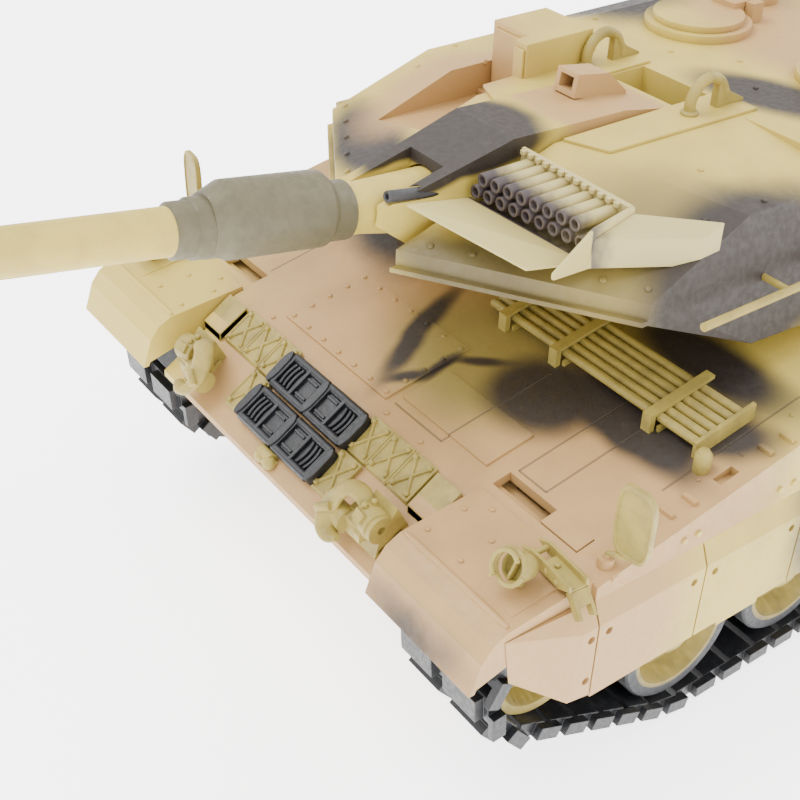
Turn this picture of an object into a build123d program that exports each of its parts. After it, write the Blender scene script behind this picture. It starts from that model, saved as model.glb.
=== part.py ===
from build123d import *
import math
import os

# One-sixteenth class radio-controlled main battle tank, millimetres.
# X points to the tank's left, -Y to its bow, Z up; the tracks stand on Z = 0.

# ---------------------------------------------------------------- clearances
RUN = 0.05            # radial gap of a shaft in its bore
CURVE = 0.3           # gap between curved faces of separate moving pieces
FIT = 0.2             # gap beside pieces that pass one another flat
WALL = 3.0            # shell thickness of hull and turret mouldings

# ---------------------------------------------------------------- hull
BOW_Y = -231.5        # front lip
STERN_Y = 238.0
BELLY_Z = 36.0
LIP_Z = 72.0          # underside line of the bow plate
SPLIT_Z = 86.0        # joint between tub and upper hull
DECK_Z = 110.0        # flat deck height
GLACIS_RISE = 0.19    # height gained per millimetre rearwards
BREAK_Y = -200.5      # bow plate meets the glacis
BREAK_Z = 92.0
TUB_HALF = 66.0
HULL_HALF = 118.0
SPONSON_FRONT_Y = -197.0
FLOOR_T = 2.5         # sponson floor thickness
GLACIS_END_Y = BREAK_Y + (DECK_Z - BREAK_Z) / GLACIS_RISE

# ---------------------------------------------------------------- running gear
WHEELS_PER_SIDE = 7
WHEEL_R = 23.2
WHEEL_FIRST_Y = -142.0
WHEEL_PITCH = 53.5
BELT_T = 5.0          # thickness of a track link body
PAD_T = 3.2
WHEEL_Z = PAD_T + BELT_T + CURVE + WHEEL_R
TRACK_X = 89.6        # track centre line from hull centre line
LINK_PITCH = 13.0
LINK_LEN = 10.4
LINK_HALF = 19.5
CONN_W = 2.6          # end connector width outside the link body
HORN_H = 6.5
HORN_W = 4.0
WHEEL_IN = 73.0       # inner face of the wheels
WHEEL_OUT = 107.0     # outer face of the wheels
HORN_GAP = 6.4
AXLE_R = 2.5
END_R = 19.0          # idler and sprocket rolling radius
IDLER_Y = -200.0
SPROCKET_Y = 222.0
END_Z = 55.0
SHAFT_R = 3.0
TEETH = 10
ARM_T = 4.0
ARM_BACK = 17.0       # arm pivot lies behind and above its axle
ARM_UP = 13.0
ROLLER_YS = (-125.0, -20.0, 85.0, 165.0)
ROLLER_R = 9.0

# ---------------------------------------------------------------- skirts and mudguards
SKIRT_X = HULL_HALF + 3.0
SKIRT_TOP = 81.0
SKIRT_LOW = 53.0
SKIRT_T = 2.4
SHELF_Z = 88.0
PANEL_FIRST_Y = -197.0
PANEL_LEN = 41.8
PANELS = 10
PANEL_GAP = 0.6
PANEL_HOLE_R = 1.3
MUD_FRONT_Y = -238.0
MUD_LOW_Z = 74.0
MUD_IN = 68.3
MUD_OUT = HULL_HALF - 2.0
MUD_T = 2.0

# ---------------------------------------------------------------- turret
RING_Y = -28.0
RING_R = 62.0
RING_LIP = 4.0
DRAWN_DECK_Z = 110.0  # the turret's heights are written for a deck at this height
TUR_BASE = 114.0
ROOF_Z = 165.0
SHELL_FRONT_Y = -66.0
SHELL_REAR_Y = 128.0
SHELL_TOP_HALF = 77.5
SHELL_MID_HALF = 87.0
SHELL_LOW_HALF = 80.0
SHELL_MID_Z = 119.0
SLOT_HALF = 15.6
SLOT_REAR_Y = -62.0
NOSE_IN_Y = -191.0
NOSE_OUT_Y = -150.0
NOSE_LOW_Z = 139.0
NOSE_TOP_Z = 146.0
NOSE_OUT_X = 80.5
ROOF_FRONT_IN_Y = -131.0
RIDGE_Y = -110.0
RIDGE_Z = 161.0

# ---------------------------------------------------------------- gun
PIVOT_Y = -88.0
PIVOT_Z = 136.3
ELEV = 9.5            # elevation at rest, degrees
TRUNNION_R = 4.0
MANT_HALF_REAR = 14.0
MANT_HALF_FRONT = 11.5
MANT_REACH = 107.0
COAX_R = 1.8
COAX_AT = (10.3, 7.4)   # beside and above the bore
SLEEVE_R = 7.0        # part of the barrel sliding in the mantlet
CONE_REAR_R = 10.5
NECK_R = 7.9
NECK_A = 113.0        # distances along the bore from the pivot
COLLAR_R = 9.0
EXTR_A0 = 120.5
EXTR_A1 = 154.0
EXTR_R = 11.4
EXTR_OFF = 1.4        # the fume extractor sits above the bore
EXTR_END_A = 160.5
RING_1_R, RING_1_A = 8.8, 165.0
RING_2_R, RING_2_A = 8.1, 171.0
TUBE_R0 = 7.0
TUBE_R1 = 6.2
TUBE_END_A = 250.0
MUZZLE_A = 356.0
BORE_R = 4.2
RECOIL = 5.0

# ---------------------------------------------------------------- smoke launchers
TUBES_LOW = 9
TUBES_HIGH = 8
TUBE_OD = 4.4
TUBE_BORE = 2.7
TUBE_PITCH = 5.1
TUBE_FIRST_X = 18.1
TUBE_FRONT_Y = -164.0
TUBE_SLANT = 0.125    # the mouths stand back towards the outer end
TUBE_REAR_Y = -144.5
TUBE_LOW_Z = 158.4
TUBE_HIGH_Z = 163.1

parts = {}


def put(name, *solids):
    parts.setdefault(name, [])
    for s in solids:
        if isinstance(s, (list, tuple)):
            put(name, *s)
        else:
            parts[name].extend(s.solids())


def box(x0, x1, y0, y1, z0, z1):
    size = (abs(x1 - x0), abs(y1 - y0), abs(z1 - z0))
    return Pos((x0 + x1) / 2, (y0 + y1) / 2, (z0 + z1) / 2) * Box(*size)


def cyl(axis, r, a0, a1, p, q):
    """Cylinder along x (p, q = y, z), y (x, z) or z (x, y)."""
    length = a1 - a0
    mid = (a0 + a1) / 2
    c = Cylinder(r, length)
    if axis == "x":
        return Pos(mid, p, q) * Rot(0, 90, 0) * c
    if axis == "y":
        return Pos(p, mid, q) * Rot(90, 0, 0) * c
    return Pos(p, q, mid) * c


def prism(axis, pts, a0, a1):
    """Polygon swept along one axis: 'x' takes (y, z) points, 'y' (x, z), 'z' (x, y)."""
    if axis == "x":
        w = [(a0, p[0], p[1]) for p in pts]
        d = (a1 - a0, 0, 0)
    elif axis == "y":
        w = [(p[0], a0, p[1]) for p in pts]
        d = (0, a1 - a0, 0)
    else:
        w = [(p[0], p[1], a0) for p in pts]
        d = (0, 0, a1 - a0)
    face = Face(Wire.make_polygon([Vector(*v) for v in w]))
    return Solid.extrude(face, Vector(*d))


def turned_x(profile, y, z):
    """Body of revolution about a lateral axis; profile is (x, radius)."""
    face = Face(Wire.make_polygon([Vector(x, r, 0) for x, r in profile]))
    return Pos(0, y, z) * Solid.revolve(face, 360, Axis.X)


def turned_z(profile, x, y):
    """Body of revolution about an upright axis; profile is (radius, z)."""
    face = Face(Wire.make_polygon([Vector(r, 0, z) for r, z in profile]))
    return Pos(x, y, 0) * Solid.revolve(face, 360, Axis.Z)


def turned_gun(profile):
    """Body of revolution about the bore; profile is (radius, distance forward)."""
    face = Face(Wire.make_polygon([Vector(r, -a, 0) for r, a in profile]))
    return Solid.revolve(face, 360, Axis.Y)


def block(points):
    """Convex block spanned by its corner points."""
    pts = [Vector(*p) for p in points]
    seen = set()
    faces = []
    n = len(pts)
    for i in range(n):
        for j in range(i + 1, n):
            for k in range(j + 1, n):
                nrm = (pts[j] - pts[i]).cross(pts[k] - pts[i])
                if nrm.length < 1e-6:
                    continue
                nrm = nrm.normalized()
                side = [(p - pts[i]).dot(nrm) for p in pts]
                if max(side) > 1e-5 and min(side) < -1e-5:
                    continue
                on = frozenset(m for m in range(n) if abs(side[m]) <= 1e-5)
                if on in seen:
                    continue
                seen.add(on)
                ring = [pts[m] for m in on]
                mid = sum(ring, Vector(0, 0, 0)) * (1.0 / len(ring))
                u = (ring[0] - mid).normalized()
                v = nrm.cross(u)
                ring.sort(key=lambda p: math.atan2((p - mid).dot(v), (p - mid).dot(u)))
                faces.append(Face(Wire.make_polygon(ring)))
    solid = Solid(Shell(faces))
    if solid.volume < 0:
        solid = Solid(Shell([-f for f in faces]))
    return solid


def other_side(s):
    return mirror(s, Plane.YZ)


def both(s):
    return [s, other_side(s)]


def glacis(y):
    """Height of the sloping front deck, flat from GLACIS_END_Y on."""
    return min(DECK_Z, BREAK_Z + GLACIS_RISE * (y - BREAK_Y))


def bow(y):
    """Height of the bow plate between the lip and the glacis."""
    return LIP_Z + (y - BOW_Y) * (BREAK_Z - LIP_Z) / (BREAK_Y - BOW_Y)


def gun_place(s):
    return Pos(0, PIVOT_Y, PIVOT_Z) * Rot(-ELEV, 0, 0) * s


def union(first, *rest):
    out = first
    for s in rest:
        out = out + s
    return out


# ================================================================ lower hull tub
bow_split_y = BOW_Y + (SPLIT_Z - LIP_Z) * (BREAK_Y - BOW_Y) / (BREAK_Z - LIP_Z)
side_out = [(BOW_Y, LIP_Z - 2.5), (BOW_Y, LIP_Z), (bow_split_y, SPLIT_Z), (STERN_Y, SPLIT_Z),
            (STERN_Y, 62), (STERN_Y - 24, BELLY_Z), (-188, BELLY_Z)]
side_in = [(BOW_Y + 8, LIP_Z + 2), (bow_split_y + 6, SPLIT_Z + 1), (STERN_Y - WALL, SPLIT_Z + 1),
           (STERN_Y - WALL, 62), (STERN_Y - 25, BELLY_Z + WALL), (-187, BELLY_Z + WALL)]
tub = prism("x", side_out, -TUB_HALF, TUB_HALF)
tub = tub - prism("x", side_in, -(TUB_HALF - WALL), TUB_HALF - WALL)
for sx in (-1, 1):
    x0, x1 = sorted((sx * (TUB_HALF - WALL - 1), sx * (TUB_HALF + 1)))
    tub = tub - cyl("x", SHAFT_R + 0.5, x0, x1, SPROCKET_Y, END_Z)
put("lower_hull", tub)

wheel_ys = [WHEEL_FIRST_Y + i * WHEEL_PITCH for i in range(WHEELS_PER_SIDE)]
arms = []
for y in wheel_ys:
    py, pz = y + ARM_BACK, WHEEL_Z + ARM_UP
    arm = cyl("x", 5.0, TUB_HALF, TUB_HALF + ARM_T, y, WHEEL_Z)
    arm = arm + cyl("x", 6.0, TUB_HALF, TUB_HALF + ARM_T, py, pz)
    dy, dz = py - y, pz - WHEEL_Z
    ln = math.hypot(dy, dz)
    ny, nz = -dz / ln * 4, dy / ln * 4
    arm = arm + prism("x", [(y + ny, WHEEL_Z + nz), (py + ny, pz + nz), (py - ny, pz - nz),
                            (y - ny, WHEEL_Z - nz)], TUB_HALF, TUB_HALF + ARM_T)
    arm = arm + cyl("x", AXLE_R, TUB_HALF, WHEEL_OUT - 5, y, WHEEL_Z)
    arms += both(arm)
idler_arm = cyl("x", 8.0, TUB_HALF, TUB_HALF + ARM_T, IDLER_Y, END_Z)
idler_arm = idler_arm + box(TUB_HALF, TUB_HALF + ARM_T, IDLER_Y, IDLER_Y + 30, END_Z - 5, END_Z + 5)
idler_arm = idler_arm + cyl("x", AXLE_R, TUB_HALF, WHEEL_OUT - 5, IDLER_Y, END_Z)
put("swing_arms", arms, both(idler_arm))

top_inner = END_Z + END_R + CURVE
rollers = []
for y in ROLLER_YS:
    rz = top_inner - CURVE - ROLLER_R
    r = cyl("x", AXLE_R, TUB_HALF, TRACK_X + 12, y, rz)
    r = r + cyl("x", ROLLER_R, TRACK_X + 3.6, TRACK_X + 10.6, y, rz)
    r = r + cyl("x", ROLLER_R, TRACK_X - 10.6, TRACK_X - 3.6, y, rz)
    rollers += both(r)
put("return_rollers", rollers)


# ================================================================ road wheels, idlers, sprockets
def wheel(y):
    """Twin dished discs with rubber tyres and a domed hub cap."""
    gap0, gap1 = TRACK_X - HORN_GAP / 2, TRACK_X + HORN_GAP / 2
    rim_r = WHEEL_R - 4.2
    outer = [(WHEEL_IN, AXLE_R + RUN), (WHEEL_IN, 8), (WHEEL_IN + 3, 8), (WHEEL_IN + 5, rim_r - 3),
             (WHEEL_IN, rim_r - 1.5), (WHEEL_IN, rim_r), (gap0, rim_r), (gap0, 12), (gap1, 12),
             (gap1, rim_r), (WHEEL_OUT, rim_r), (WHEEL_OUT, rim_r - 1.5), (WHEEL_OUT - 7, rim_r - 4),
             (WHEEL_OUT - 8, 9), (WHEEL_OUT - 2, 7), (WHEEL_OUT - 0.5, 4.5), (WHEEL_OUT - 0.5, 0.01),
             (WHEEL_OUT - 4, 0.01), (WHEEL_OUT - 4, AXLE_R + RUN)]
    hub = turned_x(outer, y, WHEEL_Z)
    tyres = []
    for a, b in ((WHEEL_IN, gap0), (gap1, WHEEL_OUT)):
        tyres.append(turned_x([(a, rim_r), (a, WHEEL_R - 0.8), (a + 0.8, WHEEL_R), (b - 0.8, WHEEL_R),
                               (b, WHEEL_R - 0.8), (b, rim_r)], y, WHEEL_Z))
    return [hub] + tyres


for i, y in enumerate(wheel_ys):
    w = wheel(y)
    put("road_wheel_left_%d" % (i + 1), w)
    put("road_wheel_right_%d" % (i + 1), [other_side(s) for s in w])

gap0, gap1 = TRACK_X - HORN_GAP / 2, TRACK_X + HORN_GAP / 2
idler = turned_x([(WHEEL_IN, AXLE_R + RUN), (WHEEL_IN, END_R), (gap0, END_R), (gap0, 10.5),
                  (gap1, 10.5), (gap1, END_R), (WHEEL_OUT - 2, END_R), (WHEEL_OUT - 2, END_R - 3),
                  (WHEEL_OUT - 8, END_R - 5), (WHEEL_OUT - 8, 7), (WHEEL_OUT - 3, 5),
                  (WHEEL_OUT - 3, 0.01), (WHEEL_OUT - 4, 0.01), (WHEEL_OUT - 4, AXLE_R + RUN)],
                 IDLER_Y, END_Z)
put("idler_left", idler)
put("idler_right", other_side(idler))


def toothed_disc(x0, x1):
    pts = []
    for i in range(TEETH):
        for f, r in ((-0.30, END_R - 4), (-0.16, END_R), (0.16, END_R), (0.30, END_R - 4)):
            a = 2 * math.pi * (i + f) / TEETH
            pts.append((SPROCKET_Y + r * math.cos(a), END_Z + r * math.sin(a)))
    return prism("x", pts, x0, x1)


sprocket = turned_x([(WHEEL_IN, SHAFT_R + RUN), (WHEEL_IN, 12), (gap0, 12), (gap0, 10.5), (gap1, 10.5),
                     (gap1, 12), (WHEEL_OUT - 6, 12), (WHEEL_OUT - 3, 8), (WHEEL_OUT - 3, 0.01),
                     (WHEEL_OUT - 5, 0.01), (WHEEL_OUT - 5, SHAFT_R + RUN)], SPROCKET_Y, END_Z)
hole = cyl("x", SHAFT_R + 4, WHEEL_IN - 1, WHEEL_OUT, SPROCKET_Y, END_Z)
sprocket = sprocket + (toothed_disc(WHEEL_IN + 2, WHEEL_IN + 6) - hole)
sprocket = sprocket + (toothed_disc(WHEEL_OUT - 10, WHEEL_OUT - 6) - hole)
put("sprocket_left", sprocket)
put("sprocket_right", other_side(sprocket))

# ================================================================ tracks
pin_off = CURVE + BELT_T / 2
circles = [(wheel_ys[0], WHEEL_Z, WHEEL_R + pin_off), (wheel_ys[-1], WHEEL_Z, WHEEL_R + pin_off),
           (SPROCKET_Y, END_Z, END_R + pin_off), (IDLER_Y, END_Z, END_R + pin_off)]


def belt_path():
    """Straight and curved stretches of the pin line, bottom run first."""
    runs = []
    normals = []
    m = len(circles)
    for i in range(m):
        (y1, z1, r1), (y2, z2, r2) = circles[i], circles[(i + 1) % m]
        dist = math.hypot(y2 - y1, z2 - z1)
        normals.append(math.atan2(z2 - z1, y2 - y1) - math.acos((r1 - r2) / dist))
    for i in range(m):
        (y1, z1, r1), (y2, z2, r2) = circles[i], circles[(i + 1) % m]
        a = normals[i]
        p = (y1 + r1 * math.cos(a), z1 + r1 * math.sin(a))
        q = (y2 + r2 * math.cos(a), z2 + r2 * math.sin(a))
        runs.append(("line", p, q, math.dist(p, q)))
        turn = (normals[(i + 1) % m] - a) % (2 * math.pi)
        runs.append(("arc", (y2, z2, r2), a, turn))
    return runs


def belt_places(pitch):
    runs = belt_path()
    lengths = [r[3] if r[0] == "line" else r[1][2] * r[3] for r in runs]
    count = round(sum(lengths) / pitch)
    step = sum(lengths) / count
    out = []
    for k in range(count):
        s = (k + 0.5) * step
        i = 0
        while s > lengths[i]:
            s -= lengths[i]
            i += 1
        r = runs[i]
        if r[0] == "line":
            t = s / r[3]
            y = r[1][0] + (r[2][0] - r[1][0]) * t
            z = r[1][1] + (r[2][1] - r[1][1]) * t
            ang = math.atan2(r[2][1] - r[1][1], r[2][0] - r[1][0])
        else:
            cy, cz, rad = r[1]
            a = r[2] + s / rad
            y, z = cy + rad * math.cos(a), cz + rad * math.sin(a)
            ang = a + math.pi / 2
        out.append((y, z, math.degrees(ang)))
    return out, step


places, link_step = belt_places(LINK_PITCH)
half_t = BELT_T / 2
link = box(-LINK_HALF, LINK_HALF, -LINK_LEN / 2, LINK_LEN / 2, -half_t, half_t)
for sx in (-1, 1):
    link = link + box(sx * 2.6, sx * 17.6, -LINK_LEN / 2 + 0.8, LINK_LEN / 2 - 0.8, -half_t - PAD_T, 0)
    link = link + box(sx * (LINK_HALF - 1), sx * (LINK_HALF + CONN_W), link_step / 2 - 4.6,
                      link_step / 2 + 4.6, -half_t, half_t - 0.4) \
        - box(sx * (LINK_HALF - 2), sx * LINK_HALF, LINK_LEN / 2, link_step, -half_t - 1, half_t + 1)
link = link + prism("x", [(-3, half_t - 0.5), (3, half_t - 0.5), (1.2, half_t + HORN_H),
                          (-1.2, half_t + HORN_H)], -HORN_W / 2, HORN_W / 2)
link = link.solids()[0]
for side, sx in (("left", 1), ("right", -1)):
    for y, z, ang in places:
        put("track_" + side, Location((sx * TRACK_X, y, z), (ang, 0, 0)) * link)

# ================================================================ upper hull
deck_mid = [(bow_split_y, SPLIT_Z), (BREAK_Y, BREAK_Z), (GLACIS_END_Y, DECK_Z), (STERN_Y, DECK_Z),
            (STERN_Y, SPLIT_Z)]
deck_wide = [(SPONSON_FRONT_Y, SPLIT_Z + FLOOR_T - 2.5), (SPONSON_FRONT_Y, glacis(SPONSON_FRONT_Y)),
             (GLACIS_END_Y, DECK_Z), (STERN_Y, DECK_Z), (STERN_Y, SPLIT_Z)]
upper = prism("x", deck_mid, -MUD_IN + 0.8, MUD_IN - 0.8) + prism("x", deck_wide, -HULL_HALF, HULL_HALF)
drop = WALL + 0.1
inner_wide = [(SPONSON_FRONT_Y + WALL, SPLIT_Z + FLOOR_T), (SPONSON_FRONT_Y + WALL, glacis(-194) - drop),
              (GLACIS_END_Y, DECK_Z - drop), (STERN_Y - WALL, DECK_Z - drop), (STERN_Y - WALL, SPLIT_Z + FLOOR_T)]
inner_mid = [(bow_split_y + 8, SPLIT_Z - 1), (bow_split_y + 9, SPLIT_Z + 1), (SPONSON_FRONT_Y, SPLIT_Z + 3.0),
             (STERN_Y - WALL, SPLIT_Z + 3.0), (STERN_Y - WALL, SPLIT_Z - 1)]
upper = upper - prism("x", inner_wide, -(HULL_HALF - WALL), HULL_HALF - WALL)
upper = upper - prism("x", inner_mid, -(TUB_HALF - WALL), TUB_HALF - WALL)
upper = upper - cyl("z", RING_R + CURVE, DECK_Z - 8, DECK_Z + 1, 0, RING_Y)

MIRROR_AT = (113.2, -190.0)
MIRROR_PIN_R = 1.0
RECESS_Y = (-192.9, -186.2)
RECESS_X = (68.6, 105.0)
for sx in (-1, 1):
    zc = glacis(-190)
    upper = upper - box(sx * RECESS_X[0], sx * RECESS_X[1], RECESS_Y[0], RECESS_Y[1], zc - 3.0, zc + 4)
    lid = block([(sx * x, y, z) for x in (89.5, 104.6) for y, z in
                 ((RECESS_Y[0] + 0.4, zc - 3.2), (RECESS_Y[1], zc - 3.2),
                  (RECESS_Y[0] + 0.4, glacis(RECESS_Y[0]) + 0.3), (RECESS_Y[1], glacis(RECESS_Y[1]) + 0.3))])
    upper = upper + lid
    for x, y in ((111.2, -165.5), (112, -157.5), (113, -128.5), (113.8, -120.5)):
        upper = upper + box(sx * (x - 2.4), sx * (x + 2.4), y - 0.9, y + 0.9, glacis(y) - 1, glacis(y) + 1.4)
    upper = upper - box(sx * 110.4, sx * 113.6, -147, -139.5, glacis(-143) - 2.2, glacis(-143) + 3)
    upper = upper + cyl("z", MIRROR_PIN_R, glacis(MIRROR_AT[1]) - 1, glacis(MIRROR_AT[1]) + 4.0,
                        sx * MIRROR_AT[0], MIRROR_AT[1])
    upper = upper + cyl("z", 2.4, glacis(MIRROR_AT[1]) - 1, glacis(MIRROR_AT[1]) + 2.9, sx * MIRROR_AT[0],
                        MIRROR_AT[1])
# raised panels of the glacis and the engine deck
PANEL_T = 0.8
for x0, x1, y0, y1 in ((-42.5, 16.5, -194.5, -161), (20, 62, -190, -172)):
    upper = upper + block([(x, y, glacis(y) + dz) for x in (x0, x1) for y in (y0, y1)
                           for dz in (-0.8, PANEL_T)])
for x0, x1 in ((-104, -38), (-33, 33), (38, 104)):
    upper = upper + box(x0, x1, 150, 226, DECK_Z - 0.5, DECK_Z + 1.6)
# low splash collar round the front of the turret ring
collar = turned_z([(RING_R + 8, DECK_Z - 0.5), (RING_R + 8, DECK_Z + 1.8), (RING_R + 11, DECK_Z + 1.8),
                   (RING_R + 11, DECK_Z - 0.5)], 0, RING_Y)
upper = upper + (collar - box(-90, 90, RING_Y + 10, RING_Y + 90, DECK_Z - 2, DECK_Z + 5)
                 - box(-90, 90, -120, GLACIS_END_Y + 4, DECK_Z - 2, DECK_Z + 5))

# driver's hatch: an oval cover on a raised seat, swinging about a pin square to the glacis
HATCH_W, HATCH_L, HATCH_T = 30.0, 36.0, 2.4
HATCH_AT = (-36.0, -129.0)
HATCH_PIN = (-20.0, 0.0)     # pin from the hatch centre
HATCH_PIN_R = 1.6
slope = math.degrees(math.atan(GLACIS_RISE))


def on_glacis(s):
    """Puts a piece drawn about the origin onto the glacis at the hatch."""
    return Pos(HATCH_AT[0], HATCH_AT[1], glacis(HATCH_AT[1])) * Rot(slope, 0, 0) * s


def stadium(w, length, z0, z1):
    """Upright slab with half-round ends along y."""
    half = length / 2 - w / 2
    s = box(-w / 2, w / 2, -half, half, z0, z1) + cyl("z", w / 2, z0, z1, 0, -half)
    return s + cyl("z", w / 2, z0, z1, 0, half)


upper = upper + on_glacis(stadium(HATCH_W + 4, HATCH_L + 4, -1.0, 0.8))
upper = upper + on_glacis(cyl("z", 4.2, -1.0, 0.8, *HATCH_PIN))
upper = upper + on_glacis(cyl("z", HATCH_PIN_R, 0.5, 4.4, *HATCH_PIN))
cover = stadium(HATCH_W, HATCH_L, 0.85, 0.85 + HATCH_T)
cover = cover + cyl("z", 3.8, 0.85, 0.85 + HATCH_T + 0.6, *HATCH_PIN) \
    + box(HATCH_PIN[0], -10, -3.0, 3.0, 0.85 + 0.6, 0.85 + HATCH_T + 0.6)
cover = cover - cyl("z", HATCH_PIN_R + RUN, 0.5, 5, *HATCH_PIN)
for px, py, turn in ((-6, -13, 18), (7, -13.5, -18)):
    cover = cover + Pos(px, py, 0.85 + HATCH_T + 1.0) * Rot(0, 0, turn) * Box(8.5, 4.0, 2.4)
put("driver_hatch", on_glacis(cover))
put("upper_hull", upper)

# ================================================================ mudguards
guards = []
top = [(MUD_FRONT_Y, MUD_LOW_Z), (MUD_FRONT_Y + 3.5, MUD_LOW_Z + 10), (MUD_FRONT_Y + 7, MUD_LOW_Z + 14.5),
       (MUD_FRONT_Y + 12, MUD_LOW_Z + 17), (SPONSON_FRONT_Y, glacis(SPONSON_FRONT_Y) + 1.2)]
under = [(SPONSON_FRONT_Y, glacis(SPONSON_FRONT_Y) + 1.2 - MUD_T), (MUD_FRONT_Y + 12.5, MUD_LOW_Z + 17 - MUD_T),
         (MUD_FRONT_Y + 8.5, MUD_LOW_Z + 12.8), (MUD_FRONT_Y + 5.5, MUD_LOW_Z + 9), (MUD_FRONT_Y + 2, MUD_LOW_Z)]
guard = prism("x", top + under, MUD_IN, MUD_OUT)
cheek = [(MUD_FRONT_Y + 1, MUD_LOW_Z + 1), (MUD_FRONT_Y + 5, MUD_LOW_Z + 11), (MUD_FRONT_Y + 12, MUD_LOW_Z + 16),
         (SPONSON_FRONT_Y, glacis(SPONSON_FRONT_Y)), (SPONSON_FRONT_Y, 86.0), (-226, 78.0)]
guard = guard + prism("x", cheek, MUD_IN, MUD_IN + 1.6) + prism("x", cheek, MUD_OUT - 1.6, MUD_OUT)
guard = guard + prism("x", [(-222, 88.0), (-222, 91.6), (-205, 94.0), (-205, 90.5)], 98.2, 112.4)
guards += both(guard)
put("front_mudguards", guards)

# ================================================================ side skirts
skirt_xz = [(HULL_HALF, SHELF_Z), (SKIRT_X, SKIRT_TOP), (SKIRT_X, SKIRT_LOW), (SKIRT_X - SKIRT_T, SKIRT_LOW),
            (SKIRT_X - SKIRT_T, SKIRT_TOP - 2.2), (HULL_HALF, SKIRT_TOP - 1.4)]
skirts = []
for k in range(PANELS):
    y0 = PANEL_FIRST_Y + k * PANEL_LEN
    y1 = min(y0 + PANEL_LEN - PANEL_GAP, STERN_Y - 2)
    p = prism("y", skirt_xz, y0, y1)
    for hy in (y0 + 4.0, y1 - 4.0):
        p = p - cyl("x", PANEL_HOLE_R, SKIRT_X - 4, SKIRT_X + 1, hy, SKIRT_TOP - 4)
    if k:
        p = p + box(SKIRT_X - SKIRT_T, SKIRT_X, y0 + 10, y0 + 28, SKIRT_LOW - 1.6, SKIRT_LOW + 0.5)
    skirts.append(p)
# first panel leans in to meet the mudguard
lead = block([(MUD_OUT + 0.2, -227, 88), (MUD_OUT + 0.2, -224.5, 71.5), (SKIRT_X, -203, SKIRT_TOP),
              (SKIRT_X, -206, 56), (SKIRT_X, PANEL_FIRST_Y - PANEL_GAP, SKIRT_TOP),
              (SKIRT_X, PANEL_FIRST_Y - PANEL_GAP, 54.2), (HULL_HALF, PANEL_FIRST_Y - PANEL_GAP, SHELF_Z),
              (SKIRT_X - 3, PANEL_FIRST_Y - PANEL_GAP, 54.2), (SKIRT_X - 3, -206, 56),
              (MUD_OUT + 0.2, PANEL_FIRST_Y - PANEL_GAP, SHELF_Z)])
lead = lead - cyl("x", PANEL_HOLE_R, SKIRT_X - 5, SKIRT_X + 1, PANEL_FIRST_Y - 2.6, SKIRT_TOP - 4)
lead = lead - cyl("x", PANEL_HOLE_R, SKIRT_X - 5, SKIRT_X + 1, PANEL_FIRST_Y - 2.6, SKIRT_TOP - 20)
skirts.append(lead)
put("side_skirts", skirts, [other_side(s) for s in skirts])

# ================================================================ bow fittings
GR_W, GR_T = 10.9, 1.6


def on_bow(x0, x1, y0, y1, t0, t1):
    """Plate lying on the bow slope between two heights above it."""
    return block([(x, y, bow(y) + t) for x in (x0, x1) for y in (y0, y1) for t in (t0, t1)])


grousers = []
for x in (21.2, 32.2, 43.2):
    grousers.append(on_bow(x, x + GR_W - 0.3, -213.0, -201.4, 0.0, GR_T))
grousers.append(on_bow(21.2, 21.2 + GR_W - 0.3, -226.2, -213.6, 0.0, GR_T))
put("grouser_plates", grousers, [other_side(s) for s in grousers])

spares = []
for y0, y1 in ((-226.4, -214.6), (-213.8, -202.2)):
    for x0 in (-20.4, 0.4):
        s = on_bow(x0, x0 + 20.0, y0, y1, 0.0, 4.2)
        s = s - on_bow(x0 + 2.5, x0 + 9, y0 + 3, y1 - 3, 2.2, 6) - on_bow(x0 + 11.5, x0 + 18, y0 + 3, y1 - 3, 2.2, 6)
        spares.append(s)
put("spare_track_links", spares)

hooks = []
HOOK_X = 54.0
hook_a = cyl("x", 4.6, HOOK_X - 2, HOOK_X + 5, -225.6, 84.2) - cyl("x", 1.4, HOOK_X - 3, HOOK_X + 6, -225.6, 84.2)
hook_b = cyl("x", 4.0, HOOK_X - 15, HOOK_X - 7, -229.4, 81.2)
hook_c = block([(x, y, z) for x in (HOOK_X - 9, HOOK_X + 0.5) for y, z in
                ((-230.5, 78.4), (-222.5, 79.4), (-222.5, 86.5), (-230.5, 84))])
hook_d = block([(x, y, z) for x in (HOOK_X - 6, HOOK_X + 5) for y, z in
                ((-228, bow(-228)), (-216, bow(-216)), (-226, 82), (-220, 90))])
hooks += both(union(hook_a, hook_b, hook_c, hook_d))
side_blocks = block([(x, y, z) for x in (55.5, 66.8) for y, z in
                     ((-214, bow(-214)), (-202, bow(-202)), (-214, bow(-214) + 3), (-203, bow(-203) + 3))])
eye = block([(x, y, bow(y) + t) for x in (-3.5, 3.5) for y in (-230.4, -226.8) for t in (0, 0.8)])
eye = eye + (cyl("x", 1.9, -3.2, 3.2, -229.0, bow(-229.0) + 2.2) - on_bow(-4, 4, -233, -224, -6, 0))
put("tow_gear", hooks, both(side_blocks), eye)

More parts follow.
